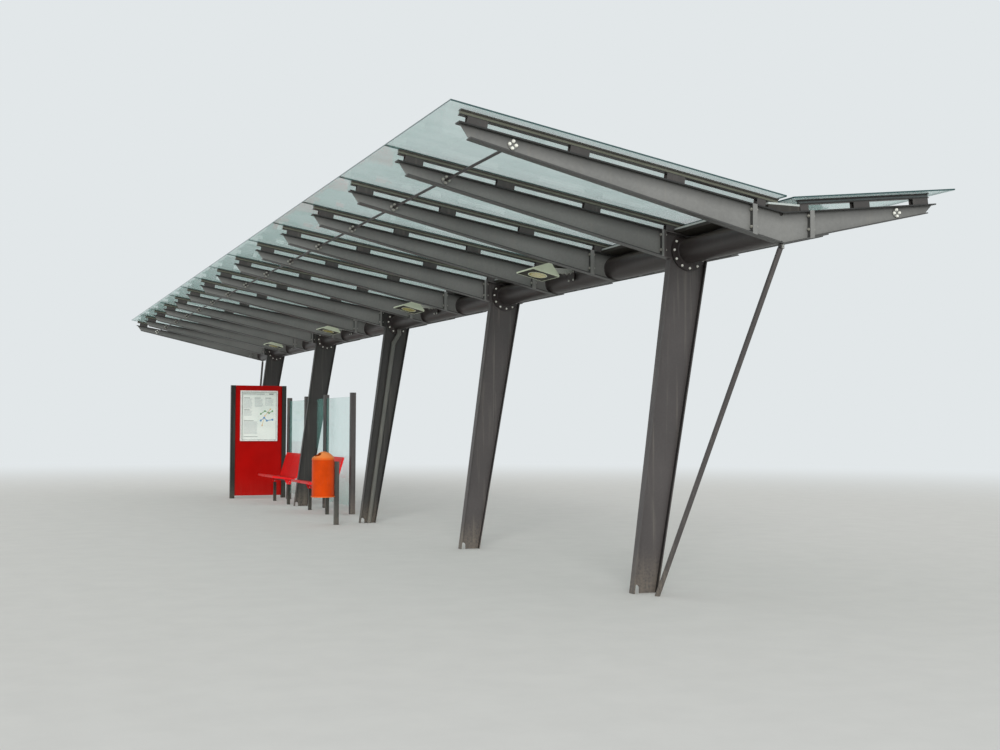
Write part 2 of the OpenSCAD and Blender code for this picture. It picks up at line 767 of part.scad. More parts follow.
// Litter bin on its own post, its mouth towards the long side
bin_post_x = bin_x + bin_d / 2 + bin_rim[0] + bin_post_d / 2;
module bin_post() {
    color("dimgray") difference() {
        union() {
            post(bin_post_x, bin_y, bin_post_d, bin_post_h, post_wall);
            for (z = clamp_at)
                translate([bin_post_x - bin_post_d / 2 - clamp[0], bin_y - clamp[1] / 2, bin_z + z])
                    cube(clamp);
        }
        translate([bin_x, bin_y, 0]) cylinder(d = bin_d + 2 * fit, h = 2 * bin_h);
    }
}
module bin_body() {
    h = bin_h - hood_h - fit;
    color("orange") translate([bin_x, bin_y, bin_z]) difference() {
        union() {
            cylinder(r = bin_d / 2 + bin_rim[0], h = bin_rim[1]);
            cylinder(d = bin_d, h = h);
        }
        translate([0, 0, bin_wall]) cylinder(d = bin_d - 2 * bin_wall, h = h);
    }
}
// Domed hood with a flat sloping face for the mouth
module hood(inset) {
    r = bin_d / 2 - inset;
    rise = dome_rise - inset;
    ball = (r * r + rise * rise) / (2 * rise);
    low = inset > 0 ? -1 : 0;
    difference() {
        intersection() {
            translate([0, 0, low]) cylinder(r = r, h = hood_h - low);
            union() {
                translate([0, 0, hood_h - inset - ball]) sphere(ball, $fn = 96);
                translate([0, 0, low]) cylinder(r = 2 * r, h = hood_h - dome_rise - low);
            }
        }
        mouth_frame() translate([-2 * bin_d, -bin_d, -inset]) cube([3 * bin_d, 2 * bin_d, bin_d]);
    }
}
module mouth_frame() { translate([-35, 0, hood_h - 14]) rotate([0, -mouth_pitch, 0]) children(); }
// Slot with round ends in the sloping face
module bin_hood() {
    side = (mouth_w - mouth_h) / 2;
    color("orange") translate([bin_x, bin_y, bin_z + bin_h - hood_h]) difference() {
        hood(0);
        hood(bin_wall);
        mouth_frame() translate([mouth_h / 2 - 90, 0, -30]) {
            for (s = [-1, 1]) translate([0, s * side, 0]) cylinder(d = mouth_h, h = 60);
            translate([-mouth_h / 2, -side, 0]) cube([mouth_h, 2 * side, 60]);
        }
    }
}

column_1();
column_2();
column_3();
column_4();
column_5();
rafter_knees();
long_wings();
short_wings();
long_blocks();
short_blocks();
long_rails();
short_rails();
glazing_seals();
long_glass();
short_glass();
valley_gutter();
downpipe();
torsion_tube();
tube_flanges();
long_tie_rods();
short_tie_rods();
long_tie_plates();
short_tie_plates();
end_struts();
light_brackets();
floodlights();
light_lenses();
screen_posts();
screen_glass();
bench_legs();
bench_brackets();
bench_beams();
bench_shells();
panel_posts();
panel_sheet();
poster_case();
poster_sheet();
poster_glass();
bin_post();
bin_body();
bin_hood();
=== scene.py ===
"""Looks of the bus shelter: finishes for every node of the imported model, and its small parts.

Each sub-assembly is a class that dresses its nodes and adds its bolts, welds and trims. Sizes are
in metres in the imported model's frame: X runs across the roof, Y along it and Z up, and the origin
is on the ground at the foot of the middle column.
"""

import json
import logging
import math
import random
from dataclasses import dataclass, field
from enum import Enum
from functools import cached_property
from itertools import product

import bmesh
import bpy
from mathutils import Matrix, Vector

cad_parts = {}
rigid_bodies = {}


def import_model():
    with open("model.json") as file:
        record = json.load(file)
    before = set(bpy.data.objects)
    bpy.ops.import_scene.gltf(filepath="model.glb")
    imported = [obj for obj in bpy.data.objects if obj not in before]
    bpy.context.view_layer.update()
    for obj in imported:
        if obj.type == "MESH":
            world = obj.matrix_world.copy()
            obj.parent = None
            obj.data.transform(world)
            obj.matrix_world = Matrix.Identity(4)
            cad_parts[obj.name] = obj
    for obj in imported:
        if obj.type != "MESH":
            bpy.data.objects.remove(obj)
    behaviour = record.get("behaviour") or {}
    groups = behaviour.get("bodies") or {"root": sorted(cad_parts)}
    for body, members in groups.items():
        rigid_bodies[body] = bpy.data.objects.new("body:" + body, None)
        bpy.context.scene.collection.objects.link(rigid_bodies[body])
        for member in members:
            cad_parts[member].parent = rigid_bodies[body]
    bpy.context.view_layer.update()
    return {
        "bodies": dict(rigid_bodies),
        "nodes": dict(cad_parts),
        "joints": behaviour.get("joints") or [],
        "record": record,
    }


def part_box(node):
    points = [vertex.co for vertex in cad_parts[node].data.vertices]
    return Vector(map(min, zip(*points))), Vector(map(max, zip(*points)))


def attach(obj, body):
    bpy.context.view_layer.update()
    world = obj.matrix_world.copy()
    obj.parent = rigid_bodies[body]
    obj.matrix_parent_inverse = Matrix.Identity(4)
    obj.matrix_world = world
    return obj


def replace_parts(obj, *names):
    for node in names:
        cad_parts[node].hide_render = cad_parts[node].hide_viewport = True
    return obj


log = logging.getLogger("shelter")

BODY = "root"
SIDES = (-1, 1)
HERE = Matrix.Identity(4)
CRISP = 0.001  # half the width of a sharp border between two paints
Colour = tuple[float, float, float, float]
Triple = tuple[float, float, float]
Material = bpy.types.Material


@dataclass(frozen=True)
class Layout:
    """Main sizes and lines of the frame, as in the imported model."""

    bay: float = 1.333
    bays: int = 14
    valley_x: float = 0.435
    valley_z: float = 2.982
    knee_depth: float = 0.240
    splice_reach: float = 0.256
    end_plate: float = 0.020
    flange_t: float = 0.010
    web_t: float = 0.008
    flange_w: float = 0.080
    tie_plate_t: float = 0.008
    long_pitch: float = 9.5
    long_reach: float = 2.598
    long_tip: float = 0.098
    short_pitch: float = 6.6
    short_reach: float = 1.442
    short_tip: float = 0.076
    tip_cut: float = 0.082
    tube_d: float = 0.219
    ring_t: float = 0.020
    column_rows: tuple[int, ...] = (1, 4, 7, 10, 13)
    column_lean: float = 0.415

    @property
    def rows(self) -> range:
        """Numbers of the rafters."""
        return range(self.bays + 1)

    @property
    def soffit_z(self) -> float:
        """Underside of the knees at the valley."""
        return self.valley_z - self.knee_depth

    @property
    def tube_z(self) -> float:
        """Middle of the tube."""
        return self.valley_z - self.knee_depth / 2

    def row_y(self, row: float) -> float:
        """Place of a rafter along the roof, by its number."""
        return (row - self.bays / 2) * self.bay

    def top_z(self, x: float) -> float:
        """Height of the rafters' upper line at a place across the roof."""
        pitch = self.long_pitch if x < self.valley_x else self.short_pitch
        return self.valley_z + abs(x - self.valley_x) * math.tan(math.radians(pitch))

    def low_z(self, x: float) -> float:
        """Height of the rafters' lower line, which tapers towards the tips.

        Args:
            x: Place across the roof.

        Returns:
            The height.
        """
        side, reach, tip = (-1, self.long_reach, self.long_tip)
        if x > self.valley_x:
            side, reach, tip = (1, self.short_reach, self.short_tip + self.flange_t)
        run = reach - self.tip_cut
        rise = self.top_z(self.valley_x + side * run) - tip - self.soffit_z
        return self.soffit_z + abs(x - self.valley_x) * rise / run

    def over_wings(self, x: "Wire", z: "Wire") -> "Wire":
        """Height above the rafters' upper lines, negative below them.

        Args:
            x: Place across the roof.
            z: Height over the ground.

        Returns:
            The height.
        """
        out = self.valley_x - x
        long_rise = out * math.tan(math.radians(self.long_pitch))
        short_rise = out * -math.tan(math.radians(self.short_pitch))
        return z - self.valley_z - long_rise.largest(short_rise)

    def off_rafter(self, y: "Wire") -> "Wire":
        """Distance from the middle of the nearest rafter, at a place along the roof."""
        return (y + self.bays * self.bay / 2).zigzag(self.bay / 2)


LAYOUT = Layout()
FRAME: dict = {}


class Shade(Enum):
    """Colours of the finishes, as sRGB numbers out of 255."""

    FRAME = (118, 118, 115)
    COLUMN = (71, 67, 66)
    # A darker copy of the column paint for the far columns: painted shade.
    SHADED = (50, 49, 47)
    LEG = (64, 64, 60)
    POST = (34, 37, 33)
    BLOCK = (66, 63, 61)
    TUBE = (48, 42, 41)
    RAIL = (84, 82, 76)
    # The short rails' own dark colour, also used as painted shade in the rails' groove; the next two are
    # painted highlights on the rails' faces.
    RAIL_LOW = (44, 42, 39)
    RAIL_FACE_HIGHLIGHT = (112, 113, 98)
    RAIL_SHORT_FACE_HIGHLIGHT = (78, 84, 84)
    PRIMER = (128, 88, 66)
    DUST = (150, 144, 132)
    SPLASH = (126, 116, 102)
    RUBBER = (30, 30, 31)
    ZINC = (205, 205, 198)
    DULL_ZINC = (184, 182, 172)
    BRIGHT_ZINC = (240, 240, 230)
    # Dark colour of the gutter, which is painted shade.
    GUTTER_PAINTED_SHADE = (46, 43, 38)
    GUTTER_LIP = (176, 182, 178)
    PIPE = (88, 89, 84)
    LIGHT_BODY = (220, 228, 202)
    LENS = (204, 192, 118)
    LAMP_DARK = (52, 50, 44)
    GLASS = (140, 200, 190)
    GLASS_EDGE = (34, 66, 66)
    GRIME = (150, 158, 150)
    RED = (158, 9, 6)
    RED_SEAT = (196, 22, 18)
    ORANGE = (192, 62, 2)
    HOOD = (212, 98, 34)
    # Painted highlight on the edges of the bench shells.
    SEAT_EDGE_HIGHLIGHT = (226, 40, 44)
    CASE = (232, 233, 228)
    PAPER = (236, 238, 231)
    INK = (84, 86, 90)
    INK_PALE = (168, 171, 172)
    INK_GREEN = (96, 150, 84)
    INK_BLUE = (92, 142, 190)
    INK_SAND = (222, 180, 110)
    BACKDROP = (226, 231, 233)
    FLOOR = (214, 213, 208)

    @property
    def linear(self) -> Colour:
        """The colour as linear light, with full alpha."""
        return self.scaled(1.0)

    def scaled(self, level: float) -> Colour:
        """The colour as linear light, made lighter or darker.

        Args:
            level: What it is multiplied by.

        Returns:
            The colour, with full alpha.
        """
        parts = [v / 255 for v in self.value]
        light = [v / 12.92 if v <= 0.04045 else ((v + 0.055) / 1.055) ** 2.4 for v in parts]
        return (*(min(v * level, 1.0) for v in light), 1.0)


@dataclass(frozen=True)
class Wire:
    """One output of a shader node, on which sums can be written."""

    graph: "Graph"
    socket: bpy.types.NodeSocket

    def _math(self, operation: str, first: "Wire | float", second: "Wire | float") -> "Wire":
        """The outcome of one Math node."""
        return self.graph.add("ShaderNodeMath", {"operation": operation}, {0: first, 1: second})

    def __add__(self, other: "Wire | float") -> "Wire":
        """Sum."""
        return self._math("ADD", self, other)

    def __radd__(self, other: float) -> "Wire":
        """Sum, with the number first."""
        return self._math("ADD", other, self)

    def __sub__(self, other: "Wire | float") -> "Wire":
        """Difference."""
        return self._math("SUBTRACT", self, other)

    def __rsub__(self, other: float) -> "Wire":
        """Difference, with the number first."""
        return self._math("SUBTRACT", other, self)

    def __mul__(self, other: "Wire | float") -> "Wire":
        """Product."""
        return self._math("MULTIPLY", self, other)

    def __rmul__(self, other: float) -> "Wire":
        """Product, with the number first."""
        return self._math("MULTIPLY", other, self)

    def __pow__(self, other: float) -> "Wire":
        """Power."""
        return self._math("POWER", self, other)

    def __abs__(self) -> "Wire":
        """Size without sign."""
        return self._math("ABSOLUTE", self, 0.0)

    def largest(self, other: "Wire | float") -> "Wire":
        """The larger of the two."""
        return self._math("MAXIMUM", self, other)

    def zigzag(self, peak: float) -> "Wire":
        """Rises from 0 to the peak and falls again, over and over."""
        return self._math("PINGPONG", self, peak)

    def ramp(self, low: float, high: float) -> "Wire":
        """Rises smoothly from 0 to 1.

        Args:
            low: Where it is 0.
            high: Where it is 1. It may lie below low.

        Returns:
            The rising value, between 0 and 1.
        """
        ends = {"From Min": low, "From Max": high}
        if high < low:
            ends = {"From Min": high, "From Max": low, "To Min": 1.0, "To Max": 0.0}
        settings = {"interpolation_type": "SMOOTHSTEP", "clamp": True}
        return self.graph.add("ShaderNodeMapRange", settings, {"Value": self} | ends)

    def blend(self, off: "Wire | Colour", on: "Wire | Colour") -> "Wire":
        """The colour off where this value is 0, and the colour on where it is 1."""
        settings = {"data_type": "RGBA", "clamp_factor": True}
        return self.graph.add("ShaderNodeMix", settings, {0: self, 6: off, 7: on}, 2)


class Graph:
    """The node tree of one material, or of the world."""

    def __init__(self, owner: Material | bpy.types.World) -> None:
        """Empties the owner's tree.

        Args:
            owner: The material or the world.
        """
        owner.use_nodes = True
        self.owner = owner
        self.tree = owner.node_tree
        self.tree.nodes.clear()

    @classmethod
    def material(cls, name: str) -> "Graph":
        """The empty tree of a new material."""
        return cls(bpy.data.materials.new(name))

    @cached_property
    def place(self) -> Wire:
        """Point on the object, in metres."""
        return self.add("ShaderNodeTexCoord", output="Object")

    @cached_property
    def xyz(self) -> tuple[Wire, ...]:
        """X, Y and Z of the point on the object."""
        return self.parts(self.place)

    @cached_property
    def facing(self) -> tuple[Wire, ...]:
        """X, Y and Z of the surface's direction."""
        return self.parts(self.add("ShaderNodeNewGeometry", output="Normal"))

    def add(self, kind: str, settings: dict | None = None, inputs: dict | None = None,
            output: int | str = 0) -> Wire:
        """Adds any node.

        Args:
            kind: The node's type.
            settings: Its properties, set first.
            inputs: Values or wires for its sockets, by name or number.
            output: Which output is wanted.

        Returns:
            That output.
        """
        node = self.tree.nodes.new(kind)
        for name, value in (settings or {}).items():
            setattr(node, name, value)
        for name, value in (inputs or {}).items():
            if isinstance(value, Wire):
                self.tree.links.new(value.socket, node.inputs[name])
            else:
                node.inputs[name].default_value = value
        return Wire(self, node.outputs[output])

    def parts(self, vector: Wire) -> tuple[Wire, ...]:
        """X, Y and Z of a vector."""
        first = self.add("ShaderNodeSeparateXYZ", {}, {0: vector})
        return tuple(Wire(self, output) for output in first.socket.node.outputs)

    def noise(self, scale: float | Triple, detail: float = 3.0, rough: float = 0.5) -> Wire:
        """Soft noise between 0 and 1.

        Args:
            scale: Cells in a metre, for all axes or for each of them.
            detail: Number of finer layers.
            rough: Strength of the finer layers.

        Returns:
            The noise.
        """
        where = self.place
        if isinstance(scale, tuple):
            where = self.add("ShaderNodeVectorMath", {"operation": "MULTIPLY"}, {0: where, 1: scale})
            scale = 1.0
        inputs = {"Vector": where, "Scale": scale, "Detail": detail, "Roughness": rough}
        return self.add("ShaderNodeTexNoise", {}, inputs, "Fac")

    def bump(self, height: Wire, depth: float) -> Wire:
        """Surface direction for a height between 0 and 1, which stands for a depth in metres."""
        values = {"Height": height, "Distance": depth, "Strength": 1.0}
        return self.add("ShaderNodeBump", {}, values, "Normal")

    def surface(self, **inputs: "Wire | Colour | float") -> Material:
        """Ends the tree in a Principled shader, given its sockets with underscores for spaces."""
        named = {name.replace("_", " "): value for name, value in inputs.items()}
        return self.output(self.add("ShaderNodeBsdfPrincipled", {}, named))

    def output(self, shader: Wire, kind: str = "ShaderNodeOutputMaterial") -> Material | bpy.types.World:
        """Ends the tree in its output node.

        Args:
            shader: What goes into its Surface.
            kind: The output node's type.

        Returns:
            The finished material or world.
        """
        node = self.tree.nodes.new(kind)
        self.tree.links.new(shader.socket, node.inputs["Surface"])
        return self.owner


@dataclass(frozen=True)
class Finish:
    """A finish of one main colour. Each kind fills its material in its own way."""

    name: str
    colour: Shade

    def material(self) -> Material:
        """Makes the material."""
        return self.fill(Graph.material(self.name))

    def fill(self, graph: Graph) -> Material:
        """Fills the material's empty tree."""
        raise NotImplementedError(self.name)

    def patchy(self, mask: Wire, span: tuple[float, float], levels: tuple[float, float]) -> Wire:
        """The colour, from its lower to its higher level as the mask crosses its span."""
        low, high = (self.colour.scaled(level) for level in levels)
        return mask.ramp(*span).blend(low, high)


@dataclass(frozen=True)
class PaintedSteel(Finish):
    """Satin paint on steel: dust on top, rain streaks on the sides, splash near the ground."""

    dust: float = 0.55
    streaks: float = 0.35
    splash: float = 0.5
    roughness: float = 0.46
    chips: float = 0.5

    def fill(self, graph: Graph) -> Material:
        """Fills the material's tree.

        Args:
            graph: The empty tree.

        Returns:
            The material.
        """
        _, _, height = graph.xyz
        _, _, up = graph.facing
        cloud = graph.noise(1.3, 4.0, 0.6)
        grain = graph.noise(46.0)
        runs = graph.noise((26.0, 26.0, 0.9), 4.0, 0.6)
        knocks = graph.noise(21.0, 5.0, 0.72).ramp(0.71, 0.74) * height.ramp(1.6, 0.1)
        side = 1.0 - abs(up).ramp(0.2, 0.6)
        streak = runs.ramp(0.52, 0.74) * side * self.streaks
        laid = up.ramp(0.3, 0.8) * (0.45 + 0.55 * cloud.ramp(0.35, 0.65)) * self.dust
        thrown = height.ramp(0.42, 0.0) * (grain * 0.6 + runs * 0.5).ramp(0.34, 0.66) * self.splash
        base = self.patchy(cloud * 0.7 + grain * 0.3, (0.3, 0.7), (0.86, 1.13))
        base = streak.blend(base, Shade.DUST.scaled(0.8))
        base = laid.blend(base, Shade.DUST.linear)
        base = thrown.blend(base, Shade.SPLASH.linear)
        base = (knocks * self.chips).blend(base, Shade.PRIMER.linear)
        base = self.own_marks_and_painted_light(graph, base)
        rough = self.roughness + 0.22 * laid + 0.2 * thrown + 0.1 * (grain - 0.5)
        peel = graph.noise(420.0, 2.0) - 1.6 * knocks
        return graph.surface(Base_Color=base, Roughness=rough, Normal=graph.bump(peel, 0.00022))

    def own_marks_and_painted_light(self, graph: Graph, base: Wire) -> Wire:
        """The colour with the marks, and the painted shade and highlights, that one kind of part has of its
        own, which plain parts lack.
        """
        return base


@dataclass(frozen=True)
class RafterPaint(PaintedSteel):
    """Paint of the rafters, with painted shade under the upper flange, on undersides and on flange edges."""

    # These set the painted shade: how dark and how deep under the upper flange, then on flange edges and
    # undersides, and on faces that look along X.
    shade_under_flange: float = 0.55
    shade_under_flange_depth: float = 0.10
    edges: float = 0.92
    faces: float = 0.92

    def own_marks_and_painted_light(self, graph: Graph, base: Wire) -> Wire:
        """Adds the painted shade of the rafters, which leaves the edges of the end plates clear.

        Args:
            graph: The material's tree.
            base: Its colour so far.

        Returns:
            The colour with the painted shade.
        """
        x, along, height = graph.xyz
        ahead, across, up = graph.facing
        depth = 0.0 - LAYOUT.over_wings(x, height)
        from_joint = abs(abs(x - LAYOUT.valley_x) - LAYOUT.splice_reach)
        clear = from_joint.ramp(LAYOUT.end_plate, LAYOUT.end_plate + CRISP)
        side = 1.0 - abs(up).ramp(0.3, 0.7)
        # Painted shade on the web just under the upper flange, fading with depth.
        shade_under_flange = depth.ramp(self.shade_under_flange_depth, LAYOUT.flange_t) * side * self.shade_under_flange * clear
        base = shade_under_flange.blend(base, self.colour.scaled(0.1))
        # Painted shade on faces that look along X, such as the plates' faces.
        plates = abs(ahead).ramp(0.85, 0.95) * self.faces
        base = plates.blend(base, self.colour.scaled(0.2))
        # Painted shade on the flanges' edges and on undersides, darker near the top.
        half = LAYOUT.flange_w / 2
        rim = LAYOUT.off_rafter(along).ramp(half - 0.0025, half - 0.0015) * abs(across).ramp(0.6, 0.9)
        under = (0.0 - up).ramp(0.4, 0.8)
        dark = depth.ramp(0.04, 0.015).blend(self.colour.scaled(0.25), self.colour.scaled(0.1))
        return ((rim * clear).largest(under) * self.edges).blend(base, dark)


@dataclass(frozen=True)
class ColumnPaint(PaintedSteel):
    """Paint of the columns, with painted shade in the corners between web and flanges."""

    # How dark the painted shade in the corners is.
    corners: float = 0.8

    def own_marks_and_painted_light(self, graph: Graph, base: Wire) -> Wire:
        """Adds the painted shade in the corners, below the knees.

        Args:
            graph: The material's tree.
            base: Its colour so far.

        Returns:
            The colour with the painted shade.
        """
        x, _, height = graph.xyz
        ahead, _, _ = graph.facing
        off = x - height * (LAYOUT.column_lean / LAYOUT.soffit_z)
        # Painted shade on the flanges' inner faces, beside the web.
        right = off.ramp(-0.01, 0.01) * (0.0 - ahead).ramp(0.7, 0.9)
        left = off.ramp(0.01, -0.01) * ahead.ramp(0.7, 0.9)
        column = height.ramp(LAYOUT.soffit_z + 0.02, LAYOUT.soffit_z - 0.02)
        return (right.largest(left) * column * self.corners).blend(base, self.colour.scaled(0.12))


@dataclass(frozen=True)
class RailPaint(PaintedSteel):
    """Glazing rails: a pale face between a dark groove below and the darker cap above; the pale face is a
    painted highlight and the dark groove is painted shade.
    """

    # Colours of the painted highlight on the face and of the painted shade in the groove, and the heights
    # over the rafters between which the highlight lies.
    face: Shade = Shade.RAIL_FACE_HIGHLIGHT
    groove: Shade = Shade.RAIL_LOW
    highlight_low: float = 0.060
    highlight_high: float = 0.074

    def own_marks_and_painted_light(self, graph: Graph, base: Wire) -> Wire:
        """Adds the bands of painted highlight and painted shade, by their height over the rafters.

        Args:
            graph: The material's tree.
            base: Its colour so far.

        Returns:
            The colour with the bands.
        """
        x, _, height = graph.xyz
        over = LAYOUT.over_wings(x, height)
        groove, face_highlight = (over.ramp(z + CRISP, z - CRISP) for z in (self.highlight_low, self.highlight_high))
        streaks = graph.noise((3.0, 40.0, 40.0), 4.0, 0.6).ramp(0.3, 0.7)
        # Painted highlight on the face, in streaks.
        base = face_highlight.blend(base, streaks.blend(self.face.scaled(0.88), self.face.scaled(1.08)))
        # Painted shade in the groove below it.
        return groove.blend(base, self.groove.linear)


@dataclass(frozen=True)
class GutterPaint(PaintedSteel):
    """Gutter: dark, as painted shade, with a pale upper lip."""

    lip: Shade = Shade.GUTTER_LIP
    lip_z: float = 3.031

    def own_marks_and_painted_light(self, graph: Graph, base: Wire) -> Wire:
        """The colour with the pale lip."""
        _, _, height = graph.xyz
        return height.ramp(self.lip_z - CRISP, self.lip_z + CRISP).blend(base, self.lip.linear)


@dataclass(frozen=True)
class PowderCoat(Finish):
    """Glossy powder coat on sheet metal, with a fine orange peel and rubbed edges of dirt."""

    roughness: float = 0.36
    scuffs: float = 0.18
    fade: float = 0.08
    specular: float = 0.22
    # Colour of surfaces that face along Y, where a finish has one: a painted highlight.
    edge: Shade | None = None

    def fill(self, graph: Graph) -> Material:
        """Fills the material's tree.

        Args:
            graph: The empty tree.

        Returns:
            The material.
        """
        _, _, height = graph.xyz
        _, across, up = graph.facing
        cloud = graph.noise(2.1, 4.0, 0.55)
        grain = graph.noise(90.0)
        runs = graph.noise((34.0, 34.0, 1.4), 4.0, 0.6)
        wiped = graph.noise((9.0, 9.0, 60.0), 5.0, 0.65).ramp(0.56, 0.72)
        splash = height.ramp(0.5, 0.03) * (grain * 0.6 + runs * 0.5).ramp(0.4, 0.7)
        laid = up.ramp(0.6, 0.95) * cloud.ramp(0.4, 0.7) * 0.14
        base = self.patchy(cloud, (0.3, 0.7), (1.0 - self.fade, 1.0 + self.fade))
        base = (wiped * 0.16 * self.scuffs).blend(base, Shade.DUST.linear)
        base = (runs.ramp(0.58, 0.78) * 0.2 * self.scuffs).blend(base, self.colour.scaled(0.6))
        base = (splash * self.scuffs).blend(base, Shade.SPLASH.linear)
        base = laid.blend(base, Shade.DUST.linear)
        # Painted highlight on surfaces that face along Y.
        if self.edge is not None:
            base = (abs(across).ramp(0.6, 0.9) * 0.8).blend(base, self.edge.linear)
        rough = self.roughness + 0.3 * splash * self.scuffs + 0.12 * wiped + 0.05 * grain
        return graph.surface(Base_Color=base, Roughness=rough, Specular_IOR_Level=self.specular,
                             Normal=graph.bump(graph.noise(360.0, 2.0), 0.00016))


@dataclass(frozen=True)
class BareMetal(Finish):
    """Zinc or aluminium dulled by weather, and painted beyond a given X where it has one."""

    roughness: float = 0.38
    metallic: float = 0.9
    tarnish: float = 0.3
    bare_to: float = 100.0

    def fill(self, graph: Graph) -> Material:
        """Fills the material's tree.

        Args:
            graph: The empty tree.

        Returns:
            The material.
        """
        x, _, _ = graph.xyz
        cloud = graph.noise(9.0, 4.0, 0.6)
        cells = {"Vector": graph.place, "Scale": 120.0}
        tone, _, _ = graph.parts(graph.add("ShaderNodeTexVoronoi", {"feature": "F1"}, cells, "Color"))
        dull = cloud.ramp(0.5, 0.75) * self.tarnish
        painted = x.ramp(self.bare_to - CRISP, self.bare_to + CRISP)
        base = self.patchy(tone * 0.5 + cloud * 0.5, (0.2, 0.8), (0.84, 1.08))
        base = dull.blend(base, Shade.DUST.scaled(0.8))
        base = painted.blend(base, Shade.TUBE.linear)
        return graph.surface(Base_Color=base, Roughness=self.roughness + 0.16 * cloud + 0.08 * tone,
                             Metallic=(self.metallic - 0.5 * dull) * (1.0 - painted),
                             Normal=graph.bump(graph.noise(260.0), 0.00012))


class PaneFace(Enum):
    """Direction in which the large faces of a pane look."""

    UP = 2
    ACROSS = 0
    ALONG = 1


@dataclass(frozen=True)
class Glass(Finish):
    """Float glass: clear faces with a little dirt, and dark green cut edges."""

    face: PaneFace
    body: float = 0.15
    grime: float = 0.1

    def fill(self, graph: Graph) -> Material:
        """Fills the material's tree.

        Args:
            graph: The empty tree.

        Returns:
            The material.
        """
        edge = 1.0 - abs(graph.facing[self.face.value]).ramp(0.45, 0.55)
        cloud = graph.noise(1.6, 5.0, 0.62)
        runs = graph.noise((0.8, 7.0, 7.0))
        dirt = (cloud.ramp(0.42, 0.72) * 0.7 + runs.ramp(0.4, 0.7) * 0.3) * self.grime
        slant = graph.add("ShaderNodeLayerWeight", {}, {"Blend": 0.5}, "Facing")
        alpha = (self.body + dirt + slant ** 5.0 * 0.7).largest(edge * 0.94)
        base = dirt.ramp(0.0, 0.4).blend(self.colour.linear, Shade.GRIME.linear)
        base = edge.blend(base, Shade.GLASS_EDGE.linear)
        return graph.surface(Base_Color=base, Roughness=0.04 + 0.35 * dirt, Alpha=alpha, IOR=1.45)


@dataclass(frozen=True)
class Rubber(Finish):
    """Black glazing rubber, gone a little grey."""

    def fill(self, graph: Graph) -> Material:
        """Fills the material's tree.

        Args:
            graph: The empty tree.

        Returns:
            The material.
        """
        cloud = graph.noise(14.0, 4.0, 0.6)
        base = self.patchy(cloud, (0.35, 0.75), (1.0, 2.6))
        return graph.surface(Base_Color=base, Roughness=0.7 + 0.15 * cloud, Specular_IOR_Level=0.3,
                             Normal=graph.bump(graph.noise(500.0, 2.0), 0.0002))


@dataclass(frozen=True)
class Moulding(Finish):
    """Thick moulded plastic, paler where it is scuffed, and paler on surfaces that face up."""

    paler_on_top: float = 0.35

    def fill(self, graph: Graph) -> Material:
        """Fills the material's tree.

        Args:
            graph: The empty tree.

        Returns:
            The material.
        """
        _, _, up = graph.facing
        cloud = graph.noise(6.0, 4.0, 0.6)
        grain = graph.noise(110.0, 4.0)
        scratch = graph.noise((60.0, 60.0, 9.0), 5.0, 0.75).ramp(0.63, 0.67)
        base = self.patchy(cloud, (0.3, 0.7), (0.9, 1.1))
        # Paler on surfaces that face up.
        base = (up.ramp(0.1, 0.9) * self.paler_on_top).blend(base, Shade.INK_SAND.linear)
        base = (scratch * 0.25).blend(base, Shade.DUST.linear)
        rough = 0.36 + 0.12 * cloud + 0.2 * scratch
        return graph.surface(Base_Color=base, Roughness=rough, Specular_IOR_Level=0.14,
                             Normal=graph.bump(grain * 0.7 + scratch * 0.5, 0.0003))


@dataclass(frozen=True)
class Print(Finish):
    """Printed paper behind glass: a plain colour with the tooth of the sheet."""

    def fill(self, graph: Graph) -> Material:
        """Fills the material's tree.

        Args:
            graph: The empty tree.

        Returns:
            The material.
        """
        tooth = graph.noise(700.0, 2.0)
        base = self.patchy(graph.noise(3.0) * 0.6 + tooth * 0.4, (0.25, 0.75), (0.94, 1.03))
        return graph.surface(Base_Color=base, Roughness=0.62 + 0.1 * tooth, Normal=graph.bump(tooth, 0.00005))


@dataclass(frozen=True)
class LampGlass(Finish):
    """Ribbed glass of a floodlight, in the colour of what lies behind it."""

    rib: float = 0.0008
    roughness: float = 0.2
    coat: float = 0.3
    specular: float = 0.4

    def fill(self, graph: Graph) -> Material:
        """Fills the material's tree.

        Args:
            graph: The empty tree.

        Returns:
            The material.
        """
        ribs = graph.add("ShaderNodeTexWave", {"wave_type": "BANDS", "bands_direction": "Y"},
                         {"Vector": graph.place, "Scale": 26.0, "Distortion": 0.0}, "Fac")
        cloud = graph.noise(8.0)
        base = self.patchy(cloud * 0.7 + ribs * 0.3, (0.2, 0.8), (0.75, 1.1))
        return graph.surface(Base_Color=base, Roughness=self.roughness + 0.1 * cloud, Coat_Weight=self.coat,
                             Specular_IOR_Level=self.specular, Normal=graph.bump(ribs, self.rib))


def turns(count: int) -> list[float]:
    """Angles that divide a full turn into equal steps, from 0."""
    return [2 * math.pi * k / count for k in range(count)]


def spread(low: float, high: float, count: int) -> list[float]:
    """Places at equal steps from low to high, both included."""
    return [low + k * (high - low) / (count - 1) for k in range(count)]


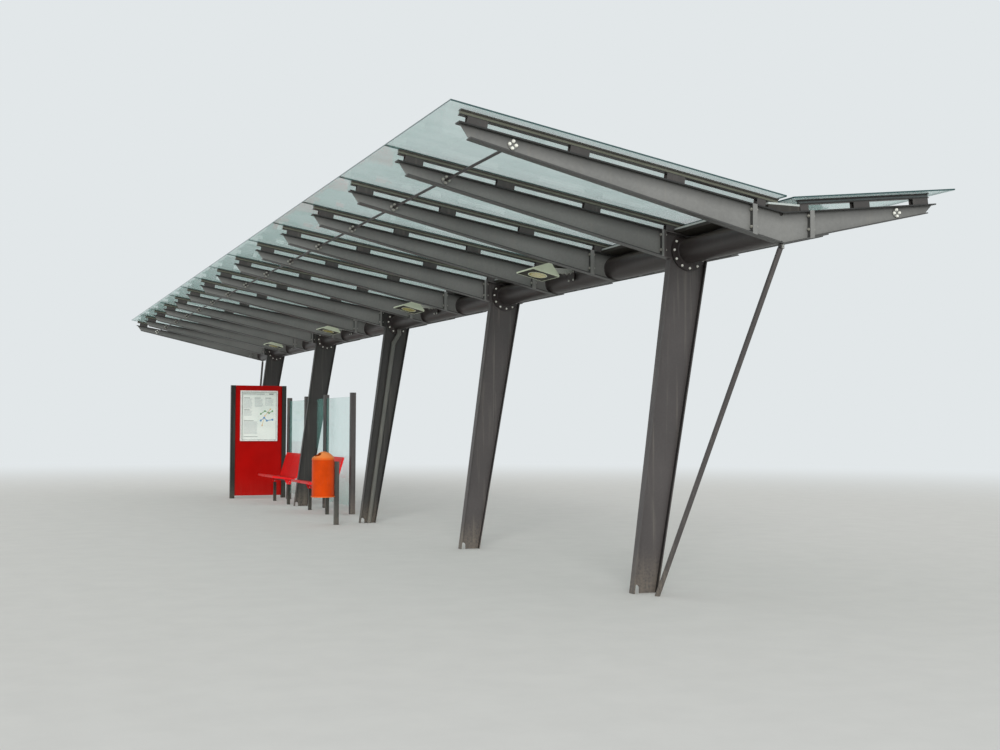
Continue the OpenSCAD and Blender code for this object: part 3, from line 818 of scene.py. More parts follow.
@dataclass(frozen=True)
class Pattern:
    """A small shape that is stamped into a piece many times."""

    points: tuple[Vector, ...]
    faces: tuple[tuple[int, ...], ...]

    @classmethod
    def skin(cls, rings: list[list[Vector]], closed: bool = False, capped: bool = True) -> "Pattern":
        """Joins rings of points into a skin.

        Args:
            rings: Rings with the same number of points, in order.
            closed: Whether the last ring joins the first, as on a torus.
            capped: Whether an open skin gets end faces.

        Returns:
            The shape.
        """
        sides, count = len(rings[0]), len(rings)
        faces = []
        for k, j in product(range(count if closed else count - 1), range(sides)):
            low, high, after = k * sides, (k + 1) % count * sides, (j + 1) % sides
            faces.append((low + j, low + after, high + after, high + j))
        if capped and not closed:
            last = (count - 1) * sides
            faces += [tuple(reversed(range(sides))), tuple(range(last, last + sides))]
        return cls(tuple(point for ring in rings for point in ring), tuple(faces))

    @classmethod
    def turned(cls, profile: list[tuple[float, float]], sides: int) -> "Pattern":
        """Turns a profile, the radius and height of each ring from the bottom up, round the Z axis."""
        ways = [Vector((math.cos(t), math.sin(t), 0)) for t in turns(sides)]
        return cls.skin([[way * r + Vector((0, 0, z)) for way in ways] for r, z in profile])

    def joined(self, other: "Pattern") -> "Pattern":
        """This shape and another as one pattern."""
        moved = tuple(tuple(i + len(self.points) for i in face) for face in other.faces)
        return Pattern(self.points + other.points, self.faces + moved)


def hex_bolt(size: float, with_end: bool = False) -> Pattern:
    """A hexagon head on a washer, or a nut on a washer with the bolt's end.

    Args:
        size: Thread diameter.
        with_end: Whether the bolt's end stands out of it.

    Returns:
        The shape, standing on Z = 0.
    """
    washer = Pattern.turned([(size * 1.05, -0.0004), (size * 1.05, size * 0.14), (size, size * 0.18)], 20)
    corner, high = size * 0.92, size * 0.84
    head = Pattern.turned([(corner, size * 0.16), (corner, high * 0.9), (corner * 0.86, high)], 6)
    if not with_end:
        return washer.joined(head)
    tip = high + size * 0.35
    end = Pattern.turned([(size * 0.46, high * 0.8), (size * 0.46, tip - size * 0.1), (size * 0.36, tip)], 12)
    return washer.joined(head).joined(end)


def rivet(size: float) -> Pattern:
    """A low domed rivet or screw head of a given diameter, standing on Z = 0."""
    rings = [(0.5, -0.1), (0.5, 0.05), (0.44, 0.17), (0.3, 0.26), (0.12, 0.3)]
    return Pattern.turned([(size * radius, size * height) for radius, height in rings], 14)


@dataclass
class Workpiece:
    """Points and faces of one piece while it is being made."""

    name: str
    points: list[Vector] = field(default_factory=list)
    faces: list[tuple[int, ...]] = field(default_factory=list)

    def stamp(self, pattern: Pattern, place: Matrix = HERE) -> None:
        """Adds a copy of a pattern.

        Args:
            pattern: The shape.
            place: Where it goes.
        """
        turn = -1 if place.determinant() < 0 else 1
        shift = len(self.points)
        self.points.extend(place @ point for point in pattern.points)
        self.faces.extend(tuple(i + shift for i in face)[::turn] for face in pattern.faces)

    def fix(self, pattern: Pattern, at: Triple | Vector, axis: Triple, spin: float = 0.0) -> None:
        """Adds a pattern with its foot at a place and its Z along an axis, turned by a spin."""
        turn = Vector(axis).to_track_quat("Z", "Y").to_matrix().to_4x4()
        self.stamp(pattern, Matrix.Translation(at) @ turn @ Matrix.Rotation(spin, 4, "Z"))

    def box(self, low: Vector, high: Vector, place: Matrix = HERE) -> None:
        """Adds a box between its lowest and its highest corner, moved to a place."""
        outline = ((low.x, low.y), (high.x, low.y), (high.x, high.y), (low.x, high.y))
        self.stamp(Pattern.skin([[Vector((x, y, z)) for x, y in outline] for z in (low.z, high.z)]), place)

    def build(self, finish: Material, slot: str, sharp: float = 35.0, weld: float = 0.0) -> bpy.types.Object:
        """Makes the Blender object, which moves with the shelter.

        Args:
            finish: Its material.
            slot: Name of a material slot in the record. Not used.
            sharp: Angle in degrees above which an edge stays sharp.
            weld: Distance below which points become one, or 0 to leave them.

        Returns:
            The object.
        """
        shell = bmesh.new()
        verts = [shell.verts.new(point) for point in self.points]
        for face in self.faces:
            shell.faces.new([verts[i] for i in face])
        if weld > 0:
            bmesh.ops.remove_doubles(shell, verts=shell.verts, dist=weld)
        bmesh.ops.recalc_face_normals(shell, faces=shell.faces)
        mesh = bpy.data.meshes.new(self.name)
        shell.to_mesh(mesh)
        shell.free()
        mesh.polygons.foreach_set("use_smooth", [True] * len(mesh.polygons))
        mesh.set_sharp_from_angle(angle=math.radians(sharp))
        mesh.materials.append(finish)
        piece = bpy.data.objects.new(self.name, mesh)
        bpy.context.scene.collection.objects.link(piece)
        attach(piece, BODY)
        log.info("piece %s: %d faces", self.name, len(mesh.polygons))
        return piece


def dress(finish: Material, *nodes: str) -> None:
    """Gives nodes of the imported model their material.

    Args:
        finish: The material.
        nodes: Names of the nodes.
    """
    for name in nodes:
        slots = FRAME["nodes"][name].data.materials
        if len(slots) == 0:
            slots.append(finish)
        for k in range(len(slots)):
            slots[k] = finish
        log.info("node %s: %s", name, finish.name)


@dataclass
class SteelFrame:
    """Columns, rafters, tube and ties, with their bolts and welds."""

    layout: Layout
    paint: Material
    column_paint: Material
    shaded_paint: Material
    tube_paint: Material
    bright_zinc: Material
    zinc: Material
    dull_zinc: Material
    splice_bolt: float = 0.012
    splice_gauge: float = 0.046
    splice_top: float = 0.034
    splice_low: float = 0.042
    flange_bolt: float = 0.010
    bolt_circle: float = 0.296
    flange_bolts_from: float = 150.0
    flange_bolts_step: float = 30.0
    flange_bolts_each: int = 9
    tie_bolt: float = 0.012
    tie_circle: float = 0.050
    strut_bolt: float = 0.008
    strut_head_w: float = 0.040
    strut_drops: tuple[float, float] = (0.009, 0.025)
    near_rows: int = 8
    bead: float = 0.007
    bead_root: float = 0.001
    bead_belly: float = 0.62
    bead_steps: int = 84
    ripples: int = 21
    ripple: float = 0.12
    ripple_noise: float = 0.06

    def build(self) -> None:
        """Dresses the nodes and adds the small parts."""
        dress(self.column_paint, "column_1", "column_2", "end_struts")
        # The far columns take the darker copy of the column paint, as painted shade.
        dress(self.shaded_paint, "column_3", "column_4", "column_5")
        dress(self.paint, "rafter_knees", "long_wings", "short_wings", "long_tie_plates", "short_tie_plates")
        dress(self.tube_paint, "torsion_tube", "tube_flanges", "long_tie_rods", "short_tie_rods")
        self.splice_bolts()
        self.flange_bolts()
        self.tie_bolts()
        self.strut_bolts()
        self.tube_welds()

    def splice_bolts(self) -> None:
        """Bolts through the end plates where the wings join the knees."""
        lay = self.layout
        piece = Workpiece("splice_bolts")
        head, nut = hex_bolt(self.splice_bolt), hex_bolt(self.splice_bolt, with_end=True)
        for row, side in product(lay.rows, SIDES):
            outer = lay.valley_x + side * (lay.splice_reach + lay.end_plate)
            inner = lay.valley_x + side * (lay.splice_reach - lay.end_plate)
            top = lay.top_z(outer) - lay.flange_t - self.splice_top
            low = lay.low_z(outer) + lay.flange_t * (1 if side < 0 else 2) + self.splice_low
            for height, edge in product((top, low), SIDES):
                off = edge * self.splice_gauge / 2
                spin = 0.7 * row + 11 * off
                piece.fix(head, (outer, lay.row_y(row) + off, height), (side, 0, 0), spin)
                piece.fix(nut, (inner, lay.row_y(row) + off, height), (-side, 0, 0), spin * 1.7)
        piece.build(self.dull_zinc, "frame_paint")

    def flange_bolts(self) -> None:
        """Bolts round the tube flanges on both sides of each column."""
        lay = self.layout
        piece = Workpiece("flange_bolts")
        shapes = {-1: hex_bolt(self.flange_bolt), 1: hex_bolt(self.flange_bolt, with_end=True)}
        radius = self.bolt_circle / 2
        for row, side, k in product(lay.column_rows, SIDES, range(self.flange_bolts_each)):
            face = lay.row_y(row) + side * (lay.web_t / 2 + lay.ring_t)
            angle = math.radians(self.flange_bolts_from + self.flange_bolts_step * k)
            at = (lay.valley_x + radius * math.cos(angle), face, lay.tube_z + radius * math.sin(angle))
            piece.fix(shapes[side], at, (0, side, 0), angle + 0.37 * k)
        piece.build(self.bright_zinc, "frame_paint")

    def tie_bolts(self) -> None:
        """Four bolts round each tie rod's plate, bright on the two outer rafters as painted light, dull on
        the others.
        """
        lay = self.layout
        outer, inner = Workpiece("tie_bolts_outer_painted_lit"), Workpiece("tie_bolts_inner")
        head = hex_bolt(self.tie_bolt)
        radius = self.tie_circle / 2
        for node in ("long_tie_plates", "short_tie_plates"):
            low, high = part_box(node)
            middle = (low + high) / 2
            slope = math.atan2(lay.top_z(high.x) - lay.top_z(low.x), high.x - low.x)
            for row, side, k in product(lay.rows, SIDES, range(4)):
                face = lay.row_y(row) + side * (lay.web_t / 2 + lay.tie_plate_t)
                angle = math.radians(90 * k) + slope
                at = (middle.x + radius * math.cos(angle), face, middle.z + radius * math.sin(angle))
                # The outer rafters' bolts take the bright zinc, as painted light.
                piece = outer if row in (0, lay.bays) else inner
                piece.fix(head, at, (0, side, 0), 0.6 * k + 0.3 * row)
        outer.build(self.bright_zinc, "frame_paint")
        inner.build(self.dull_zinc, "frame_paint")

    def strut_bolts(self) -> None:
        """Two bolts through the head of each end strut."""
        lay = self.layout
        piece = Workpiece("strut_bolts")
        for row, side, drop in product((0, lay.bays), SIDES, self.strut_drops):
            at = (lay.valley_x, lay.row_y(row) + side * self.strut_head_w / 2, lay.soffit_z - drop)
            piece.fix(hex_bolt(self.strut_bolt), at, (0, side, 0), 0.2 + 20 * drop)
        piece.build(self.zinc, "frame_paint")

    def tube_welds(self) -> None:
        """Weld beads where the tube meets the knee webs and its flanges."""
        lay = self.layout
        rng = random.Random(5)
        for group, rows in (("near", lay.rows[:self.near_rows]), ("far", lay.rows[self.near_rows:])):
            piece = Workpiece(f"tube_welds_{group}")
            for row, side in product(rows, SIDES):
                if (row, side) in ((0, -1), (lay.bays, 1)):
                    continue
                reach = lay.web_t / 2 + (lay.ring_t if row in lay.column_rows else 0.0)
                rings = self._bead(lay.row_y(row) + side * reach, side, rng)
                piece.stamp(Pattern.skin(rings, closed=True))
            piece.build(self.tube_paint, "frame_paint", sharp=80.0)

    def _bead(self, face: float, side: int, rng: random.Random) -> list[list[Vector]]:
        """One fillet bead round the tube.

        Args:
            face: Y of the plate that the tube meets.
            side: Which way the tube leaves the plate, -1 or 1.
            rng: Source of the ripples.

        Returns:
            Its rings.
        """
        lay = self.layout
        rings = []
        for angle in turns(self.bead_steps):
            noise = rng.uniform(-self.ripple_noise, self.ripple_noise)
            size = self.bead * (1.0 + self.ripple * math.sin(self.ripples * angle) + noise)
            out, along = Vector((math.cos(angle), 0, math.sin(angle))), Vector((0, side, 0))
            base = Vector((lay.valley_x, face, lay.tube_z)) + out * (lay.tube_d / 2)
            rings.append([base - (out + along) * self.bead_root, base + out * size - along * self.bead_root,
                          base + (out + along) * size * self.bead_belly,
                          base + along * size - out * self.bead_root])
        return rings


@dataclass
class RoofCover:
    """Glazing rails on blocks, glass on both wings, gutter and downpipe."""

    rail_paint: Material
    short_rail_paint: Material
    block_paint: Material
    rubber: Material
    glass: Material
    gutter: Material
    pipe: Material

    def build(self) -> None:
        """Dresses the nodes."""
        dress(self.block_paint, "long_blocks", "short_blocks")
        dress(self.rail_paint, "long_rails")
        dress(self.short_rail_paint, "short_rails")
        dress(self.rubber, "glazing_seals")
        dress(self.glass, "long_glass", "short_glass")
        dress(self.gutter, "valley_gutter")
        dress(self.pipe, "downpipe")


@dataclass
class Floodlights:
    """Four floodlights on arms from the tube."""

    layout: Layout
    body: Material
    pane: Material
    lens: Material
    zinc: Material
    bracket: Material
    gap: float = 0.250
    drop: float = 0.033
    tilt: float = 13.6
    length: float = 0.288
    pane_z: float = -0.008
    lens_half: tuple[float, float] = (0.080, 0.125)
    bezel: float = 0.007
    bolt: float = 0.010
    arm_w: float = 0.086
    arm_bolts: tuple[tuple[float, float], ...] = ((0.150, 0.058), (0.195, 0.058), (0.195, 0.070))
    wall_gauge: float = 0.100
    wall_gap: float = 0.026
    wall_bolts: tuple[float, float] = (-0.008, 0.074)

    @property
    def edge(self) -> Vector:
        """Edge of a light that is nearest to the tube, were it in the middle of the roof."""
        lay = self.layout
        return Vector((lay.valley_x - lay.tube_d / 2 - self.gap, 0.0, lay.tube_z - self.drop))

    @property
    def middles(self) -> list[Vector]:
        """How far each light is along the roof."""
        rows = self.layout.column_rows
        return [Vector((0.0, self.layout.row_y((a + b) / 2), 0.0)) for a, b in zip(rows, rows[1:])]

    def build(self) -> None:
        """Dresses the nodes and adds the lenses and bolts."""
        dress(self.body, "floodlights")
        dress(self.bracket, "light_brackets")
        dress(self.pane, "light_lenses")
        self.lenses()
        self.bolts()

    def lenses(self) -> None:
        """The oval lens behind each pane, drawn on its face, with a pale bezel."""
        lens, rim = Workpiece("lamp_lenses"), Workpiece("lamp_bezels")
        wide = 1.0 + self.bezel / self.lens_half[0]
        back = self._oval(1.0, 0.0006)
        dome = [self._oval(share, -0.0002 - 0.0014 * (1 - share ** 2)) for share in (1.0, 0.8, 0.55, 0.25)]
        frame = [back, self._oval(1.0, -0.0015), self._oval((1.0 + wide) / 2, -0.0018),
                 self._oval(wide, -0.0012), self._oval(wide, 0.0006)]
        for middle in self.middles:
            place = (Matrix.Translation(self.edge + middle) @ Matrix.Scale(-1, 4, (1, 0, 0))
                     @ Matrix.Rotation(math.radians(-self.tilt), 4, "Y")
                     @ Matrix.Translation((self.length / 2, 0, self.pane_z)))
            lens.stamp(Pattern.skin([back] + dome), place)
            rim.stamp(Pattern.skin(frame, closed=True), place)
        lens.build(self.lens, "light_glass", sharp=60.0)
        rim.build(self.body, "light_body", sharp=60.0)

    def _oval(self, share: float, z: float) -> list[Vector]:
        """An oval ring on a light's pane.

        Args:
            share: Its size, as a share of the lens.
            z: How far it lies above the pane's face, negative below it.

        Returns:
            Its points.
        """
        along, across = self.lens_half
        grow = (share - 1.0) * along
        return [Vector(((along + grow) * math.cos(t), (across + grow) * math.sin(t), z)) for t in turns(48)]

    def bolts(self) -> None:
        """Bolts of the wall plates and arms."""
        piece = Workpiece("light_bolts")
        head = hex_bolt(self.bolt)
        for middle, side in product(self.middles, SIDES):
            start = self.edge + middle
            for x, z in self.arm_bolts:
                piece.fix(head, start + Vector((x, side * self.arm_w / 2, z)), (0, side, 0), 0.4)
            for z in self.wall_bolts:
                off = Vector((self.gap - self.wall_gap, side * self.wall_gauge / 2, z))
                piece.fix(head, start + off, (-1, 0, 0), 0.2)
        piece.build(self.zinc, "light_body")


@dataclass
class GlassScreen:
    """Glass on square posts behind the benches."""

    paint: Material
    glass: Material
    rubber: Material
    strip: tuple[tuple[float, float], ...] = (
        (0.0, -0.0006), (0.005, -0.0006), (0.0036, 0.003), (0.0, 0.0042))
    strip_end: float = 0.004

    def build(self) -> None:
        """Dresses the nodes and adds the rubber beside the glass."""
        dress(self.paint, "screen_posts")
        dress(self.glass, "screen_glass")
        self.gaskets()

    def gaskets(self) -> None:
        """Rubber strips in the corners between glass and posts."""
        piece = Workpiece("screen_gaskets")
        low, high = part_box("screen_glass")
        corners = [v.co for v in FRAME["nodes"]["screen_glass"].data.vertices]
        edges = sorted({round(corner.y, 4) for corner in corners})
        faces = ((min(c.x for c in corners), -1), (max(c.x for c in corners), 1))
        for (k, y), (x, out) in product(enumerate(edges), faces):
            inwards = 1 if k % 2 == 0 else -1
            rings = [[Vector((x + out * h, y + inwards * w, z)) for w, h in self.strip]
                     for z in (low.z + self.strip_end, high.z - self.strip_end)]
            piece.stamp(Pattern.skin(rings))
        piece.build(self.rubber, "seal_rubber")


@dataclass(frozen=True)
class Tray:
    """An open tray of folded sheet with rounded folds, and with a field of holes if it has a pitch.

    Its face lies on Z = 0, its edges hang down, X runs from 0 and Y is centred.
    """

    length: float
    width: float
    depth: float
    sheet: float = 0.003
    radius: float = 0.006
    pitch: float = 0.0
    hole: float = 0.012
    margin: float = 0.022

    def add_to(self, piece: Workpiece, place: Matrix) -> None:
        """Adds the tray to a piece.

        Args:
            piece: The piece.
            place: Where the tray goes.
        """
        rings = self._rings(0.0) + self._rings(self.sheet)[::-1]
        piece.stamp(Pattern.skin(rings, capped=self.pitch <= 0), place)
        if self.pitch > 0:
            self._field(piece, place)

    def _rings(self, inset: float) -> list[list[Vector]]:
        """Rings of one skin, from the face down to the open edge.

        Args:
            inset: Distance inside the outer skin.

        Returns:
            The rings.
        """
        bend = self.radius - inset
        rings = []
        for angle in (math.radians(22.5 * step) for step in range(5)):
            inwards, down = bend * (1 - math.sin(angle)), bend * (1 - math.cos(angle))
            rings.append(self._loop(inset + inwards, -inset - down))
        return rings + [self._loop(inset, -self.depth)]

    def _loop(self, inset: float, z: float) -> list[Vector]:
        """A rectangle with rounded corners.

        Args:
            inset: Distance inside the tray's outline.
            z: Its height.

        Returns:
            Its points.
        """
        radius = max(self.radius - inset, 0.0)
        near, far, side = self.radius, self.length - self.radius, self.width / 2 - self.radius
        points = []
        for x, y, start in ((far, side, 0), (near, side, 90), (near, -side, 180), (far, -side, 270)):
            for angle in (math.radians(start + 30 * step) for step in range(4)):
                points.append(Vector((x + radius * math.cos(angle), y + radius * math.sin(angle), z)))
        return points

    def _field(self, piece: Workpiece, place: Matrix) -> None:
        """The face with its holes, between plain margins.

        Args:
            piece: The piece.
            place: Where the tray goes.
        """
        half = self.width / 2
        xs = self._stops(self.radius, self.length - self.radius, self.length)
        ys = self._stops(self.radius - half, half - self.radius, self.width)
        for (i, x), (j, y) in product(enumerate(zip(xs, xs[1:])), enumerate(zip(ys, ys[1:]))):
            border = i in (0, len(xs) - 2) or j in (0, len(ys) - 2)
            cell = self._plain(x, y) if border else self._pierced(x, y)
            piece.stamp(cell, place)

    def _stops(self, low: float, high: float, side: float) -> list[float]:
        """Borders of the cells along one side of the face.

        Args:
            low: Start of the flat face.
            high: End of the flat face.
            side: Length of the tray's side.

        Returns:
            The borders, margins included.
        """
        count = int((side - 2 * self.margin) / self.pitch)
        start = (low + high - count * self.pitch) / 2
        return [low] + [start + k * self.pitch for k in range(count + 1)] + [high]

    def _plain(self, x: tuple[float, float], y: tuple[float, float]) -> Pattern:
        """A cell without a hole, between two X and two Y."""
        ring = ((x[0], y[0]), (x[1], y[0]), (x[1], y[1]), (x[0], y[1]))
        points = tuple(Vector((*point, z)) for z in (0.0, -self.sheet) for point in ring)
        return Pattern(points, ((0, 1, 2, 3), (7, 6, 5, 4)))

    def _pierced(self, x: tuple[float, float], y: tuple[float, float]) -> Pattern:
        """A cell with a round hole.

        Args:
            x: Its low and high X.
            y: Its low and high Y.

        Returns:
            The shape.
        """
        cx, cy = sum(x) / 2, sum(y) / 2
        border = ((x[1], cy), (x[1], y[1]), (cx, y[1]), (x[0], y[1]),
                  (x[0], cy), (x[0], y[0]), (cx, y[0]), (x[1], y[0]))
        rim = [(cx + self.hole / 2 * math.cos(t), cy + self.hole / 2 * math.sin(t)) for t in turns(8)]
        rings = ((border, 0.0), (rim, 0.0), (rim, -self.sheet), (border, -self.sheet))
        return Pattern.skin([[Vector((*point, z)) for point in ring] for ring, z in rings], capped=False)


@dataclass
class Benches:
    """Two benches of pierced, folded sheet on square legs."""

    layout: Layout
    paint: Material
    red: Material
    zinc: Material
    places: tuple[float, float] = (1.794, 3.767)
    length: float = 1.226
    joint: float = 0.012
    seat_z: float = 0.503
    seat_d: float = 0.400
    seat_pitch: float = 7.0
    back_len: float = 0.450
    back_lean: float = 16.6
    edge: float = 0.038
    back_edge: float = 0.0266
    back_set: float = 0.001
    hole_pitch: float = 0.024
    leg_gap: float = 1.100
    carrier_bolt: float = 0.008
    carrier_w: float = 0.050
    bolt_places: tuple[tuple[float, float], ...] = ((-0.112, 0.022), (-0.088, 0.052))

    @property
    def bend_z(self) -> float:
        """Height of the bend between seat and back."""
        return self.seat_z - self.seat_d * math.sin(math.radians(self.seat_pitch))

    def build(self) -> None:
        """Dresses the nodes and adds the shells and bolts."""
        dress(self.paint, "bench_legs", "bench_beams")
        dress(self.red, "bench_brackets")
        for number, place in enumerate(self.places, 1):
            self.shells(number, place * self.layout.bay)
        self.bolts()

    def shells(self, number: int, y: float) -> None:
        """The two shells of one bench.

        Args:
            number: Number of the bench.
            y: Its middle along the shelter.
        """
        width = (self.length - self.joint) / 2
        seat = Tray(self.seat_d, width, self.edge, pitch=self.hole_pitch)
        back = Tray(self.back_len, width, self.back_edge, pitch=self.hole_pitch)
        flip = Matrix.Scale(-1, 4, (1, 0, 0))
        piece = Workpiece(f"bench_{number}_shells")
        for side in SIDES:
            base = Matrix.Translation((0, y + side * (width + self.joint) / 2, self.bend_z))
            seat.add_to(piece, base @ flip @ Matrix.Rotation(math.radians(-self.seat_pitch), 4, "Y"))
            back.add_to(piece, base @ Matrix.Rotation(math.radians(self.back_lean - 90), 4, "Y")
                        @ Matrix.Translation((-self.back_set, 0, 0)))
        shells = piece.build(self.red, "bench_red", weld=1e-5)
        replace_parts(shells, "bench_shells")

    def bolts(self) -> None:
        """Bolts through the carriers."""
        piece = Workpiece("carrier_bolts")
        low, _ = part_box("bench_brackets")
        for place, end, side in product(self.places, SIDES, SIDES):
            y = place * self.layout.bay + end * self.leg_gap / 2 + side * self.carrier_w / 2
            for x, z in self.bolt_places:
                piece.fix(hex_bolt(self.carrier_bolt), (x, y, low.z + z), (0, side, 0), 0.5 + z * 20)
        piece.build(self.zinc, "bench_red")


@dataclass
class PosterPrint:
    """Print on the poster: strips of ink that form no letters, and a plain diagram of runs and stops."""

    low: Vector
    high: Vector
    inks: dict[str, Material]
    blocks: tuple[tuple[float, float, float, int], ...] = (
        (0.07, 0.12, 0.24, 17), (0.38, 0.12, 0.24, 14), (0.07, 0.37, 0.24, 9), (0.69, 0.12, 0.24, 12),
        (0.07, 0.60, 0.40, 21))
    runs: tuple[tuple[str, float, tuple[tuple[float, float], ...]], ...] = (
        ("green", 0.011, ((0.56, 0.46), (0.68, 0.40), (0.80, 0.44), (0.90, 0.40))),
        ("blue", 0.013, ((0.56, 0.60), (0.66, 0.54), (0.74, 0.60), (0.90, 0.58))),
        ("sand", 0.009, ((0.60, 0.70), (0.68, 0.50), (0.84, 0.36))))
    ink_back: float = 0.0002
    word_front: float = 0.0005
    run_front: float = 0.0006
    stop_front: float = 0.0009
    stop_size: float = 1.5
    first_line: float = 0.022
    line_step: float = 0.0125
    line_h: float = 0.0042
    heading_h: float = 0.009
    words: tuple[float, float] = (0.018, 0.06)
    word_gap: float = 0.008
    line_rest: float = 0.03

    def build(self) -> None:
        """Prints the text-like strips and the diagram."""
        self.strips()
        self.diagram()

    def spot(self, u: float, v: float) -> Vector:
        """A point on the sheet, as shares of its width and height from its upper left corner."""
        size = self.high - self.low
        return Vector((self.low.x + u * size.x, self.low.y, self.high.z - v * size.z))

    def strip(self, piece: Workpiece, u: float, v: float, long: float, tall: float) -> None:
        """Adds a strip of ink.

        Args:
            piece: The ink's piece.
            u: Its left edge, as a share of the sheet.
            v: Its top edge, as a share of the sheet, from the top.
            long: Its length, as a share of the sheet.
            tall: Its height in metres.
        """
        low = self.spot(u, v) - Vector((0, self.word_front, tall))
        piece.box(low, self.spot(u + long, v) + Vector((0, self.ink_back, 0)))

    def strips(self) -> None:
        """Headings, and blocks of short strips beneath them."""
        rng = random.Random(11)
        dark, pale = Workpiece("print_dark"), Workpiece("print_pale")
        self.strip(dark, 0.05, 0.035, 0.62, 0.010)
        self.strip(pale, 0.05, 0.060, 0.9, 0.003)
        self.strip(dark, 0.80, 0.030, 0.13, 0.016)
        for u, v, long, lines in self.blocks:
            self.strip(dark, u, v, long * 0.7, self.heading_h)
            for line in range(lines):
                start = u
                while start < u + long - self.line_rest:
                    word = min(rng.uniform(*self.words), u + long - start)
                    self.strip(pale, start, v + self.first_line + line * self.line_step, word, self.line_h)
                    start += word + self.word_gap
        self.strip(dark, 0.07, 0.935, 0.40, 0.007)
        dark.build(self.inks["dark"], "poster_paper")
        pale.build(self.inks["pale"], "poster_paper")

    def diagram(self) -> None:
        """Three runs with round stops, each in its own colour."""
        for ink, thick, stops in self.runs:
            piece = Workpiece(f"print_{ink}")
            points = [self.spot(u, v) for u, v in stops]
            for start, end in zip(points, points[1:]):
                run = end - start
                turn = Matrix.Rotation(-math.atan2(run.z, run.x), 4, "Y")
                low = Vector((0, -self.run_front, -thick / 2))
                high = Vector((run.length, self.ink_back, thick / 2))
                piece.box(low, high, Matrix.Translation(start) @ turn)
            radius = thick * self.stop_size
            disc = Pattern.turned([(radius, -self.ink_back), (radius, self.stop_front)], 24)
            for point in points:
                piece.fix(disc, point, (0, -1, 0))
            piece.build(self.inks[ink], "poster_paper")


@dataclass
class InformationPanel:
    """Red sheet between two posts, with a poster case."""

    paint: Material
    red: Material
    case: Material
    glass: Material
    paper: Material
    rubber: Material
    inks: dict[str, Material]
    lip: float = 0.013
    side_lock: float = 0.009
    side_locks: int = 5
    side_end: float = 0.06
    foot_lock: float = 0.012
    foot_locks: int = 3
    foot_end: float = 0.05
    gasket_w: float = 0.003
    gasket_proud: float = 0.0012
    gasket_sunk: float = 0.0002

    def build(self) -> None:
        """Dresses the nodes and adds the folded sheet, locks, gasket and print."""
        dress(self.paint, "panel_posts")
        dress(self.case, "poster_case")
        dress(self.glass, "poster_glass")
        dress(self.paper, "poster_sheet")
        self.sheet()
        self.locks()
        self.gasket()
        PosterPrint(*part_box("poster_sheet"), self.inks).build()

    def sheet(self) -> None:
        """The red sheet, with rounded folds."""
        low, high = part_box("panel_sheet")
        tray = Tray(high.z - low.z, high.x - low.x, high.y - low.y, radius=0.005)
        turn = Matrix(((0, 1, 0), (0, 0, -1), (-1, 0, 0))).to_4x4()
        piece = Workpiece("red_sheet")
        tray.add_to(piece, Matrix.Translation(((low.x + high.x) / 2, low.y, high.z)) @ turn)
        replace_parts(piece.build(self.red, "panel_red"), "panel_sheet")

    def locks(self) -> None:
        """Round locks down the right side of the case's door frame and along its foot."""
        low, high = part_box("poster_case")
        piece = Workpiece("case_locks")
        for z in spread(low.z + self.side_end, high.z - self.side_end, self.side_locks):
            piece.fix(rivet(self.side_lock), (high.x - self.lip, low.y, z), (0, -1, 0))
        for x in spread(low.x + self.foot_end, high.x - self.foot_end, self.foot_locks):
            piece.fix(rivet(self.foot_lock), (x, low.y, low.z + self.lip), (0, -1, 0))
        piece.build(self.rubber, "case_metal")

    def gasket(self) -> None:
        """Black rubber between the case's frame and its glass."""
        low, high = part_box("poster_glass")
        wide = self.gasket_w
        piece = Workpiece("case_gasket")
        front, back = low.y - self.gasket_proud, low.y + self.gasket_sunk
        for z in (low.z, high.z - wide):
            piece.box(Vector((low.x, front, z)), Vector((high.x, back, z + wide)))
        for x in (low.x, high.x - wide):
            piece.box(Vector((x, front, low.z + wide)), Vector((x + wide, back, high.z - wide)))
        piece.build(self.rubber, "case_metal")


@dataclass
class LitterBin:
    """Moulded bin on its own post."""

    paint: Material
    plastic: Material
    hood_plastic: Material
    foot_rim: float = 0.006
    neck_bead: float = 0.0025
    neck_drop: float = 0.004
    rim_sunk: float = 0.2

    def build(self) -> None:
        """Dresses the nodes and adds the rims."""
        dress(self.paint, "bin_post")
        dress(self.plastic, "bin_body")
        dress(self.hood_plastic, "bin_hood")
        self.rims()

    def rims(self) -> None:
        """The rolled lower edge, and the bead below the hood."""
        low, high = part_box("bin_body")
        middle = (low + high) / 2
        radius = (high.x - low.x) / 2
        up = Vector((0, 0, 1))
        piece = Workpiece("bin_rims")
        for z, thick in ((low.z + self.foot_rim, self.foot_rim), (high.z - self.neck_drop, self.neck_bead)):
            rings = []
            for angle in turns(72):
                out = Vector((math.cos(angle), math.sin(angle), 0))
                centre = Vector((middle.x, middle.y, z)) + out * (radius - thick * self.rim_sunk)
                rings.append([centre + (out * math.cos(t) + up * math.sin(t)) * thick for t in turns(10)])
            piece.stamp(Pattern.skin(rings, closed=True))
        piece.build(self.hood_plastic, "bin_plastic", sharp=80.0)


